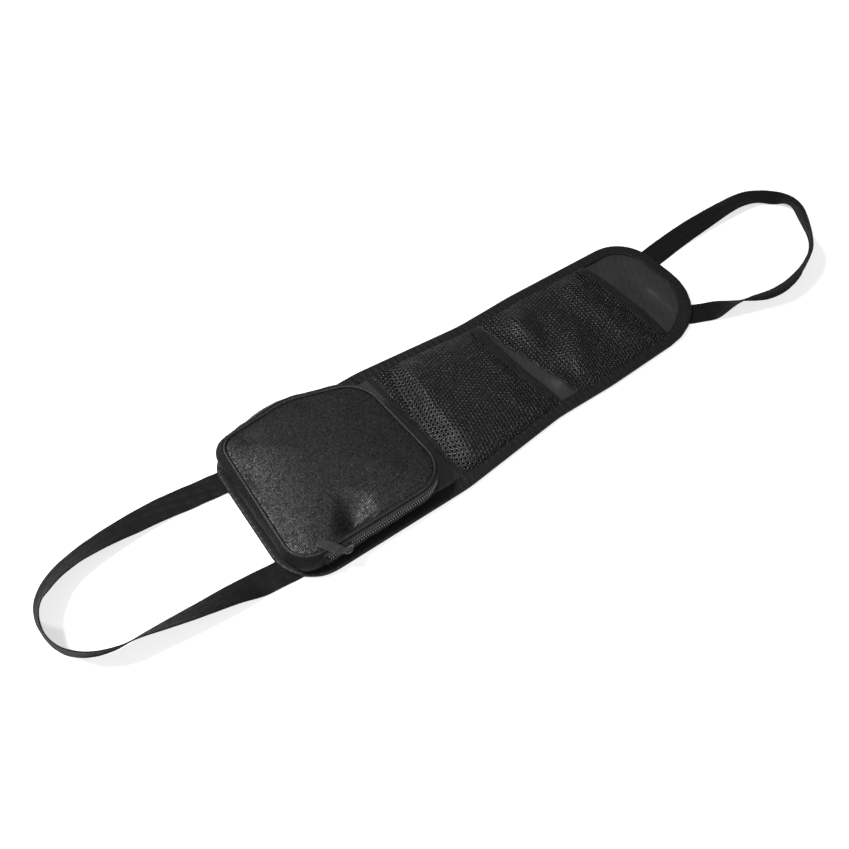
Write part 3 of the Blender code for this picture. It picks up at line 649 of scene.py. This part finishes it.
def build_binding():
    width, wall, top = BINDING_WIDTH, 0.0009, BINDING_TOP
    rings = []
    for i, (point, heading) in enumerate(zip(outer_loop, headings(outer_loop, True))):
        lift = near_strap(inset_point(point, heading, 0.004)) * (STRAP_THICKNESS + 0.0003)
        pucker = 0.00022 * noise.noise(point * 240) + 0.00012 * math.sin(i * math.tau / 3)
        drift = 0.0005 * noise.noise(point * 45 + Vector((3, 1, 0)))
        section = (
            (width, lift), (width * 0.7, lift), (0.0012, lift * 0.9), (0.0003, 0.0007 + lift * 0.5),
            (0.0, top * 0.5), (0.0002, top - 0.0008), (0.0010, top - 0.0001),
            (0.0030, top + 0.00012 + pucker), (0.0060, top + 0.00018 + pucker * 0.6), (0.0090, top + pucker * 0.7),
            (width - 0.0027, top - 0.0001), (width - 0.0019, top - 0.00030), (width - 0.0011, top + pucker),
            (width + drift, top - 0.0002 + pucker), (width + drift, top - wall * 0.85),
            (wall, top - wall), (wall, wall + lift * 0.6), (width, wall + lift))
        rings.append([inset_point(point, heading, inset) + Vector((0, 0, z)) for inset, z in section])
    piece = new_piece("binding", sweep(rings, closed=True), BINDING_TAPE)
    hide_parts("edge_binding")


build_binding()
loop_headings = headings(outer_loop, True)
stitch_top = [inset_point(p, h, BINDING_WIDTH - 0.0019) + Vector((0, 0, BINDING_TOP - 0.0001))
              for p, h in zip(outer_loop, loop_headings)]
stitches("binding_stitches", [(stitch_top, Vector((0, 0, 1)), True)], THREAD)

# Net pockets
inner_loop = [inset_point(p, h, BINDING_WIDTH) for p, h in zip(outer_loop, loop_headings)]


def side_hits(x):
    """Where the binding's inner edge crosses a line across the backing: its near side and its far side."""
    hits = []
    for a, b in zip(inner_loop, inner_loop[1:] + inner_loop[:1]):
        if min(a.x, b.x) <= x <= max(a.x, b.x) and a.x != b.x:
            hits.append(a.y + (b.y - a.y) * (x - a.x) / (b.x - a.x))
    return min(hits), max(hits)


SIDE_STEP = 0.002
SIDE_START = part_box("middle_net_hem")[0].x - 0.010
SIDE_COUNT = round((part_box("upper_net")[1].x + 0.012 - SIDE_START) / SIDE_STEP)
SIDES = [side_hits(SIDE_START + SIDE_STEP * i) for i in range(SIDE_COUNT)]


def side_y(x, side):
    """The binding's inner edge at a place along the backing."""
    at = min(max((x - SIDE_START) / SIDE_STEP, 0), len(SIDES) - 1.001)
    i, share = int(at), at % 1
    k = 1 if side > 0 else 0
    return SIDES[i][k] * (1 - share) + SIDES[i + 1][k] * share


def net_place(shape, t, v):
    """A point on a net; t runs from its seam to its mouth and v from the near side to the far side."""
    seam, skew, mouth, sag, foot, slant, flank, rise, mouth_rise, folds = shape
    start = seam - skew * v
    x = start + (mouth - sag * (1 - v * v) - start) * t
    near, far = side_y(x, -1), side_y(x, 1)
    y = (near + far) / 2 + v * ((far - near) / 2 + 0.0022)
    bulge = max(0.0, 1 - abs(v) ** 3) ** 0.75
    up = min(1.0, max(0.0, (x - max(start, foot + slant * y)) / flank))
    fall = max(0.0, (t - 0.30) / 0.70)
    height = up * up * (3 - 2 * up) * (rise + (mouth_rise - rise) * fall ** 1.5) * bulge
    fold = 0.0
    for fx, fy, angle, width, length, depth in folds:
        over = ((x - fx) * math.cos(angle) + (y - fy) * math.sin(angle)) / width
        on = ((y - fy) * math.cos(angle) - (x - fx) * math.sin(angle)) / length
        fold += depth * math.exp(-over ** 2 - on ** 2)
    calm = min(1.0, bulge * 1.6) * min(1.0, t * 5) * min(1.0, (1 - t) * 6 + 0.1)
    ripple = 0.0007 * noise.noise(Vector((x * 60, y * 60, 2.0))) + 0.0002 * noise.noise(Vector((x * 170, y * 150, 8.0)))
    lift = max(-0.6 * height, (fold + ripple) * calm)
    tuck = 0.0011 * max(0.0, 1 - (1 - abs(v)) * 16)
    return Vector((x, y, PANEL_TOP + 0.0006 - tuck + padding_rise(x, y) + height + lift))


def hex_cloth(length, width):
    """A flat rectangle cut from a mesh of six-sided holes, with its yarn raised along the middle of each strand."""
    radius = MESH_PITCH / math.sqrt(3)
    reach = math.hypot(length, width) + 2 * MESH_PITCH
    rows, columns = 2 * math.ceil(reach / (3 * radius)), math.ceil(reach / MESH_PITCH)
    bm = bmesh.new()
    for spot in (Vector((0, 0, MESH_CROWN)), Vector((1.5 * radius, MESH_PITCH / 2, MESH_CROWN))):
        bmesh.ops.create_circle(bm, cap_ends=True, segments=6, radius=radius,
                                matrix=Matrix.Translation(spot) @ Matrix.Rotation(math.pi / 3, 4, "Z"))
    for stride, steps in ((Vector((0, MESH_PITCH, 0)), columns - 1), (Vector((3 * radius, 0, 0)), rows // 2 - 1)):
        bmesh.ops.spin(bm, geom=bm.faces[:] + bm.edges[:] + bm.verts[:], axis=(0, 0, 1), dvec=stride, angle=0.0,
                       steps=steps, use_duplicate=True)
    bmesh.ops.remove_doubles(bm, verts=bm.verts, dist=radius * 0.1)
    for share, level in ((0.55, 0.75), (0.45, 0.0)):
        holes = [f for f in bm.faces if len(f.verts) == 6]
        bmesh.ops.inset_individual(bm, faces=holes, thickness=share * MESH_STRAND / 2, use_even_offset=True)
        for hole in holes:
            for vert in hole.verts:
                vert.co.z = level * MESH_CROWN
    bmesh.ops.delete(bm, geom=holes, context="FACES")
    middle = Vector((-1.5 * radius * (rows - 1) / 2, -MESH_PITCH * (columns - 0.5) / 2, 0))
    bmesh.ops.translate(bm, verts=bm.verts, vec=middle)
    bmesh.ops.rotate(bm, verts=bm.verts, matrix=Matrix.Rotation(MESH_TURN, 3, "Z"))
    for side in (-1, 1):
        for edge, out in ((Vector((side * length / 2, 0, 0)), (side, 0, 0)), (Vector((0, side * width / 2, 0)), (0, side, 0))):
            bmesh.ops.bisect_plane(bm, geom=bm.verts[:] + bm.edges[:] + bm.faces[:], dist=1e-6, plane_co=edge,
                                   plane_no=out, clear_outer=True)
    return bm


def build_net(name, node, shape):
    """A mesh pocket front, laid from its seam to its mouth."""
    seam, mouth = shape[0], shape[2]
    length = mouth - seam
    width = side_y((seam + mouth) / 2, 1) - side_y((seam + mouth) / 2, -1)
    bm = hex_cloth(length, width)
    for vert in bm.verts:
        t = min(1.0, max(0.0, vert.co.x / length + 0.5))
        v = min(1.0, max(-1.0, 2 * vert.co.y / width))
        vert.co = net_place(shape, t, v) + Vector((0, 0, vert.co.z))
    bmesh.ops.remove_doubles(bm, verts=bm.verts, dist=0.00003)
    bmesh.ops.recalc_face_normals(bm, faces=bm.faces)
    if sum(f.normal.z for f in bm.faces) < 0:
        bmesh.ops.reverse_faces(bm, faces=bm.faces)
    net = new_piece(name, bm, NET_YARN)
    thick = net.modifiers.new("yarn_depth", "SOLIDIFY")
    thick.thickness = MESH_SHEET
    thick.offset = -1
    settle(net)
    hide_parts(node)
    return net


UPPER_FOLDS = (  # centre, turn, reach across and along, height
    (0.074, 0.034, -0.35, 0.010, 0.020, 0.0040), (0.096, -0.024, -0.58, 0.012, 0.036, 0.0052),
    (0.078, -0.002, -0.58, 0.008, 0.026, -0.0018), (0.146, -0.015, 0.03, 0.012, 0.050, 0.0040),
    (0.148, 0.040, 0.10, 0.011, 0.016, 0.0026), (0.122, 0.030, -0.20, 0.012, 0.030, -0.0016))
MIDDLE_FOLDS = (
    (0.018, -0.003, 0.00, 0.010, 0.018, 0.0030), (0.008, -0.044, 0.20, 0.009, 0.015, 0.0026),
    (0.030, -0.040, 0.00, 0.008, 0.014, 0.0022), (-0.032, 0.012, -0.10, 0.014, 0.045, -0.0022))
UPPER_NET = (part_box("upper_net")[0].x, 0.009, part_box("upper_net_tape")[1].x - 0.001, 0.0, 0.0, 0.0, 0.026,
             0.0062, 0.0070, UPPER_FOLDS)
MIDDLE_NET = (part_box("middle_net")[0].x - 0.002, -0.004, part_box("middle_net_tape")[1].x - 0.001, 0.006, -0.0785, 0.21,
              0.023, 0.0135, 0.0075, MIDDLE_FOLDS)
upper_net = build_net("upper_mesh", "upper_net", UPPER_NET)
middle_net = build_net("middle_mesh", "middle_net", MIDDLE_NET)

for node, name in (("upper_net_tape", "upper_mouth_tape"), ("middle_net_tape", "middle_mouth_tape"),
                   ("middle_net_hem", "middle_seam_tape")):
    tape = even_copy(node, name, NET_TAPE, 0.0006, soften=3)
    ruffle(tape, 0.0007, 0.012, 21)
    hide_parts(node)

# Zip pocket walls
# The near and far walls take the lit copy of the wall cloth (painted light), the hinged end wall its shaded copy
# (painted shade).
for node, name, seed, material in (("pocket_gusset_lower", "lower_gusset", 11, SIDE_CLOTH_LIT),
                                   ("pocket_gusset_upper", "upper_gusset", 12, SIDE_CLOTH_LIT),
                                   ("pocket_hinge_gusset", "hinge_gusset", 13, HINGE_CLOTH_SHADED)):
    wall = even_copy(node, name, material, 0.00065, soften=2)
    ruffle(wall, 0.0008, 0.011, seed, stretch=(1, 1, 5))
    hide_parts(node)

# Piping round the front
rim = level_loops("pocket_piping", 0.025)
rim = anticlockwise(rim[0])
rim = smoothed(even_points(rim, 0.002, True), True, 2)
PIPING_RADIUS = 0.0014
rim = [inset_point(p, h, PIPING_RADIUS) for p, h in zip(rim, headings(rim, True))]
piping = new_piece("piping", sweep(tube(rim, PIPING_RADIUS, 12, True), closed=True), PIPING_CLOTH)
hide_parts("pocket_piping")


def build_seam():
    """The seam allowance that joins the piping to the walls all the way round, as wide as the gap between them."""
    edges = [point for node in ("pocket_gusset_upper", "pocket_hinge_gusset")
             for loop in level_loops(node, SEAM_LEVEL - 0.0006) for point in even_points(loop, 0.0010, True)]
    tree = KDTree(len(edges))
    for i, point in enumerate(edges):
        tree.insert(point, i)
    tree.balance()
    reaches = []
    for point, heading in zip(rim, headings(rim, True)):
        outward = Vector((heading.y, -heading.x, 0))
        nearest = tree.find(Vector((point.x, point.y, SEAM_LEVEL - 0.0006)))[0]
        reaches.append(max(0.0, (nearest - point).dot(outward)))
    for _ in range(3):
        reaches = [(reaches[i - 1] + reaches[i] + reaches[(i + 1) % len(reaches)]) / 3 for i in range(len(reaches))]
    rings = []
    for point, heading, reach in zip(rim, headings(rim, True), reaches):
        outward = Vector((heading.y, -heading.x, 0))
        middle = Vector((point.x, point.y, SEAM_LEVEL)) + outward * reach / 2
        rings.append([middle + outward * (reach / 2 + SEAM_HALF) * math.cos(a) + Vector((0, 0, SEAM_HEIGHT * math.sin(a)))
                      for a in (math.tau * j / 10 for j in range(10))])
    # The seam is in the shaded copy of the wall cloth: painted shade in the dark line under the piping.
    new_piece("piping_seam", sweep(rings, closed=True), HINGE_CLOTH_SHADED)


SEAM_LEVEL, SEAM_HALF, SEAM_HEIGHT = 0.0231, 0.0010, 0.0017
build_seam()


# Zip pocket front
def inside(loop, spot):
    crossed = False
    for a, b in zip(loop, loop[1:] + loop[:1]):
        if (a.y > spot.y) != (b.y > spot.y) and spot.x < a.x + (b.x - a.x) * (spot.y - a.y) / (b.y - a.y):
            crossed = not crossed
    return crossed


def crease_depth(spot):
    """How far the front is pressed in beside its zip corner: a drop on the hinge side, a slope on the other."""
    line = CREASE_END - CREASE_TIP
    t = (spot - CREASE_TIP).dot(line) / line.length_squared
    side = (spot - CREASE_TIP).cross(line) / line.length
    if side > 0:
        share = min(1.0, max(0.0, (CREASE_DROP[1] - side) / (CREASE_DROP[1] - CREASE_DROP[0])))
    else:
        share = max(0.0, 1 + side / CREASE_SLOPE)
    along = min(1.0, max(0.0, (t + 0.25) / 0.75))
    return CREASE_DEPTH * along * along * (3 - 2 * along) * share * share * (3 - 2 * share)


def dimple_depth(spot):
    return sum(deep * math.exp(-((spot - Vector(place)).length / reach) ** 2) for *place, reach, deep in FRONT_DIMPLES)


def build_front():
    """The quilt-like front: a cloth held by the piping, blown up by the padding and creased near its zip corner."""
    edge = [inset_point(p, h, 0.0010) for p, h in zip(rim, headings(rim, True))]
    low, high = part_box("pocket_face")
    tree = KDTree(len(edge))
    for i, point in enumerate(edge):
        tree.insert(point, i)
    tree.balance()
    bm = bmesh.new()
    half = max(high.x - low.x, high.y - low.y) / 2 + FRONT_STEP
    count = round(2 * half / FRONT_STEP)
    bmesh.ops.create_grid(bm, x_segments=count, y_segments=count, size=half,
                          matrix=Matrix.Translation(((low.x + high.x) / 2, (low.y + high.y) / 2, RIM_LEVEL)))
    outside = [v for v in bm.verts if not inside(edge, v.co)]
    bmesh.ops.delete(bm, geom=outside, context="VERTS")
    for vert in bm.verts:
        nearest, _, away = tree.find(vert.co)
        if vert.is_boundary:
            vert.co.xy = nearest.xy
            away = 0.0
        share = max(0.0, 1 - away / FRONT_HALF)
        vert.co.z = RIM_LEVEL + FRONT_CROWN * (1 - share ** 2.1)
    bm.verts.index_update()
    rims = [v.index for v in bm.verts if v.is_boundary]
    creased = []
    for vert in bm.verts:
        depth = crease_depth(vert.co.xy)
        vert.co.z -= (depth + dimple_depth(vert.co.xy)) * min(1.0, tree.find(vert.co)[2] / 0.006)
        if depth > 0.25 * CREASE_DEPTH:
            creased.append(vert.index)
    front = new_piece("pocket_front", bm, POCKET_CLOTH)
    start = [v.co.copy() for v in front.data.vertices]
    pins = front.vertex_groups.new(name="sewn")
    pins.add(rims, 1.0, "REPLACE")
    pins.add(creased, 0.7, "REPLACE")
    cloth_sim = front.modifiers.new("cloth", "CLOTH")
    settings = cloth_sim.settings
    settings.quality = 6
    settings.mass = 0.2
    settings.tension_stiffness = settings.compression_stiffness = 12
    settings.bending_stiffness = 0.15
    settings.shrink_min = -0.035
    settings.vertex_group_mass = "sewn"
    settings.effector_weights.gravity = -0.30
    cloth_sim.point_cache.frame_end = 24
    for number in range(1, 25):
        bpy.context.scene.frame_set(number)
    settle(front)
    bpy.context.scene.frame_set(1)
    for vert, home in zip(front.data.vertices, start):
        move = vert.co - home
        if move.length > FRONT_CAP:
            vert.co = home + move.normalized() * FRONT_CAP
    front.vertex_groups.clear()
    thick = front.modifiers.new("cloth_depth", "SOLIDIFY")
    thick.thickness = 0.0012
    thick.offset = -1
    fine = front.modifiers.new("fine", "SUBSURF")
    fine.levels = fine.render_levels = 1
    settle(front)
    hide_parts("pocket_face")


FRONT_STEP = 0.0021
FRONT_HALF = 0.070
FRONT_CROWN = 0.0072
FRONT_CAP = 0.0030
RIM_LEVEL = 0.0250
CREASE_TIP, CREASE_END = Vector((-0.180, -0.049)), Vector((-0.2025, -0.0785))
CREASE_DROP, CREASE_SLOPE, CREASE_DEPTH = (0.0010, 0.0185), 0.0220, 0.0098
FRONT_DIMPLES = (  # centre, reach, depth
    (-0.215, 0.058, 0.010, 0.0016), (-0.150, 0.062, 0.012, 0.0012), (-0.118, 0.030, 0.012, 0.0014),
    (-0.235, 0.020, 0.014, 0.0010), (-0.125, -0.045, 0.012, 0.0010))
build_front()

# Zip
def wall_run(node, height):
    """The outer face of a wall that stands along three sides of the pocket, from its near end to its far end."""
    loop = level_loops(node, height)[0]
    near = min(range(len(loop)), key=lambda i: loop[i].x + (0 if loop[i].y < 0 else 1))
    far = min(range(len(loop)), key=lambda i: loop[i].x + (0 if loop[i].y > 0 else 1))
    low, high = sorted((near, far))
    runs = [loop[low:high + 1], loop[high:] + loop[:low + 1]]
    run = max(runs, key=run_length)
    return run if run[0].y < run[-1].y else run[::-1]


def build_zip_side(name, teeth_node, tape_node, side):
    level = ZIP_LEVEL + side * 0.0018
    run = smoothed(even_points(wall_run(teeth_node, level), 0.0008), rounds=6)
    spots = even_points(run, 0.0023)[1:-1]
    places = []
    for spot, heading in zip(spots, headings(spots)):
        out = Vector((heading.y, -heading.x, 0))
        places.append(turned(spot - out * 0.0009, heading, Vector((0, 0, 1))))
    row = set_beads(name, bead(8, 5, (0.00075, 0.00085, 0.00135)), places, TEETH_PAINTED_GLINT)
    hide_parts(teeth_node)
    tape = bevelled_copy(tape_node, name.replace("teeth", "tape"), ZIP_TAPE, 0.0001)
    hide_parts(tape_node)


build_zip_side("lower_teeth", "zip_teeth_lower", "zip_tape_lower", -1)
build_zip_side("upper_teeth", "zip_teeth_upper", "zip_tape_upper", 1)


def build_zip_end():
    """The small cloth patch sewn over the end of the zip, where the hinged wall begins."""
    run = smoothed(even_points(wall_run("zip_teeth_lower", ZIP_LEVEL - 0.0018), 0.0008), rounds=6)
    heading = (run[3] - run[0]).normalized()
    place = turned(Vector((run[0].x, run[0].y, ZIP_LEVEL)), heading, Vector((0, 0, 1)))
    bm = bmesh.new()
    bmesh.ops.create_cube(bm, size=1.0, matrix=place @ Matrix.Diagonal((*ZIP_END_SIZE, 1)))
    bmesh.ops.subdivide_edges(bm, edges=bm.edges[:], cuts=3, use_grid_fill=True)
    patch = new_piece("zip_end_patch", bm, HINGE_CLOTH_SHADED)
    fine = patch.modifiers.new("fine", "SUBSURF")
    fine.levels = fine.render_levels = 2
    settle(patch)
    ruffle(patch, 0.0003, 0.004, 31)


ZIP_END_SIZE = (0.0085, 0.0030, 0.0090)
build_zip_end()


def build_corner_seam(name, far):
    """The upright seam that joins the hinged wall to the two zipped walls."""
    rings = []
    for node, level in CORNER_LEVELS:
        run = even_points(wall_run(node, level), 0.0008)
        end, before = (run[-1], run[-4]) if far else (run[0], run[3])
        heading = (end - before).normalized()
        heading.z = 0
        outward = Vector((heading.y, -heading.x, 0)) * (1 if far else -1)
        middle = end + heading * 0.0006 - outward * 0.0008
        middle.z = level
        ring = [middle + heading * 0.0024 * math.copysign(abs(math.cos(a)) ** 0.6, math.cos(a))
                + outward * 0.0010 * math.copysign(abs(math.sin(a)) ** 0.6, math.sin(a))
                for a in (math.tau * j / 14 for j in range(14))]
        rings.append(ring if far else ring[::-1])
    seam = new_piece(name, sweep(rings), HINGE_CLOTH_SHADED)
    fine = seam.modifiers.new("fine", "SUBSURF")
    fine.levels = fine.render_levels = 1
    settle(seam)


CORNER_LEVELS = [("pocket_gusset_lower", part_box("pocket_gusset_lower")[0].z + 0.0008), ("pocket_gusset_lower", 0.0090),
                 ("zip_teeth_lower", ZIP_LEVEL - 0.0018), ("pocket_gusset_upper", 0.0198),
                 ("pocket_gusset_upper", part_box("pocket_gusset_upper")[1].z - 0.0008)]
build_corner_seam("near_corner_seam", False)
build_corner_seam("far_corner_seam", True)
slider = bevelled_copy("zip_slider", "slider", SLIDER, 0.00022, body="slider")
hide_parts("zip_slider")

# Pull tab
TAB_THIN = 0.00065
LINK_RADIUS, LINK_WIRE = 0.0020, 0.00045
TAB_STATIONS = (  # place from the slider's pin, lean in degrees, half width
    ((-0.0022, -0.0004, 0.0024), 4, 0.0018), ((-0.0044, -0.0007, 0.0056), 12, 0.0027),
    ((-0.0072, -0.0005, 0.0086), 24, 0.0036), ((-0.0104, 0.0012, 0.0112), 42, 0.0041),
    ((-0.0135, 0.0048, 0.0130), 62, 0.0043), ((-0.0166, 0.0094, 0.0137), 78, 0.0043),
    ((-0.0190, 0.0134, 0.0135), 88, 0.0041), ((-0.0205, 0.0157, 0.0131), 92, 0.0029))


def build_tab():
    """The soft pull tab: it hangs on a wire link, climbs the wall and lies over the piping."""
    pin = Vector(next(j for j in frame["joints"] if j["name"] == "tab_swing")["pos_m"])
    places = [pin + Vector(place) for place, _, _ in TAB_STATIONS]
    rings = []
    for place, heading, (_, lean, half) in zip(places, headings(places), TAB_STATIONS):
        outward = Vector((0, -math.cos(math.radians(lean)), math.sin(math.radians(lean))))
        across = outward.cross(heading).normalized()
        through = heading.cross(across).normalized()
        rings.append([place + across * half * math.copysign(abs(math.cos(a)) ** 0.5, math.cos(a))
                      + through * TAB_THIN * math.copysign(abs(math.sin(a)) ** 0.8, math.sin(a))
                      for a in (math.tau * (j + 0.5) / 16 for j in range(16))])
    tab = new_piece("tab", sweep(rings), TAB, "pull")
    fine = tab.modifiers.new("fine", "SUBSURF")
    fine.levels = fine.render_levels = 2
    settle(tab)
    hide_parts("pull_tab")
    ring = [pin + Vector((-LINK_RADIUS * 0.9 + LINK_RADIUS * math.cos(a), 0, LINK_RADIUS * math.sin(a)))
            for a in (math.tau * j / 20 for j in range(20))]
    link = new_piece("tab_link", sweep(tube(ring, LINK_WIRE, 8, True, Vector((0, 1, 0))), closed=True), SLIDER, "pull")


build_tab()

# Floor, lights and camera
def build_stage():
    bm = bmesh.new()
    bmesh.ops.create_circle(bm, cap_ends=True, segments=96, radius=1.4,
                            matrix=Matrix.Translation((0, 0, cad_box[0].z - 0.0004)))
    mesh = bpy.data.meshes.new("floor")
    bm.to_mesh(mesh)
    bm.free()
    floor = bpy.data.objects.new("floor", mesh)
    bpy.context.scene.collection.objects.link(floor)
    material = bpy.data.materials.new("pale_floor")
    material.use_nodes = True
    tree = material.node_tree
    tree.nodes.remove(tree.nodes["Principled BSDF"])
    paper = tree.nodes.new("ShaderNodeBsdfDiffuse")
    paper.inputs["Color"].default_value = (0.82, 0.82, 0.82, 1)
    glow = tree.nodes.new("ShaderNodeEmission")
    rays = tree.nodes.new("ShaderNodeLightPath")
    tree.links.new(math_node(tree, "MULTIPLY", rays.outputs["Is Camera Ray"], 0.62), glow.inputs["Strength"])
    both = tree.nodes.new("ShaderNodeAddShader")
    tree.links.new(paper.outputs[0], both.inputs[0])
    tree.links.new(glow.outputs[0], both.inputs[1])
    tree.links.new(both.outputs[0], tree.nodes["Material Output"].inputs["Surface"])
    floor.data.materials.append(material)


def area_light(name, place, aim, size, power):
    data = bpy.data.lights.new(name, "AREA")
    data.shape = "DISK"
    data.size = size
    data.energy = power
    lamp = bpy.data.objects.new(name, data)
    lamp.location = place
    lamp.rotation_euler = (Vector(aim) - Vector(place)).to_track_quat("-Z", "Y").to_euler()
    bpy.context.scene.collection.objects.link(lamp)


build_stage()
area_light("window", (-1.15, 0.70, 1.55), (-0.05, 0, 0), 0.45, 43)
area_light("near_glint", (-0.45, -1.30, 0.80), (-0.15, 0, 0), 0.12, 9)
world = bpy.data.worlds.new("room")
bpy.context.scene.world = world
world.use_nodes = True
sky = world.node_tree.nodes["Background"]
sky.inputs["Color"].default_value = (1, 1, 1, 1)
rays = world.node_tree.nodes.new("ShaderNodeLightPath")
world.node_tree.links.new(
    math_node(world.node_tree, "MULTIPLY_ADD", rays.outputs["Is Camera Ray"], 0.82, 0.18), sky.inputs["Strength"])

camera_data = bpy.data.cameras.new("camera")
camera_data.lens = CAMERA_LENS
camera = bpy.data.objects.new("camera", camera_data)
bpy.context.scene.collection.objects.link(camera)
bpy.context.scene.camera = camera
backward = Vector((
    math.sin(CAMERA_AZIMUTH) * math.cos(CAMERA_ELEVATION), -math.cos(CAMERA_AZIMUTH) * math.cos(CAMERA_ELEVATION),
    math.sin(CAMERA_ELEVATION)))
camera.location = CAMERA_LOOK + backward * CAMERA_DISTANCE
camera.rotation_euler = (-backward).to_track_quat("-Z", "Y").to_euler()
bpy.context.scene.view_settings.view_transform = "Standard"
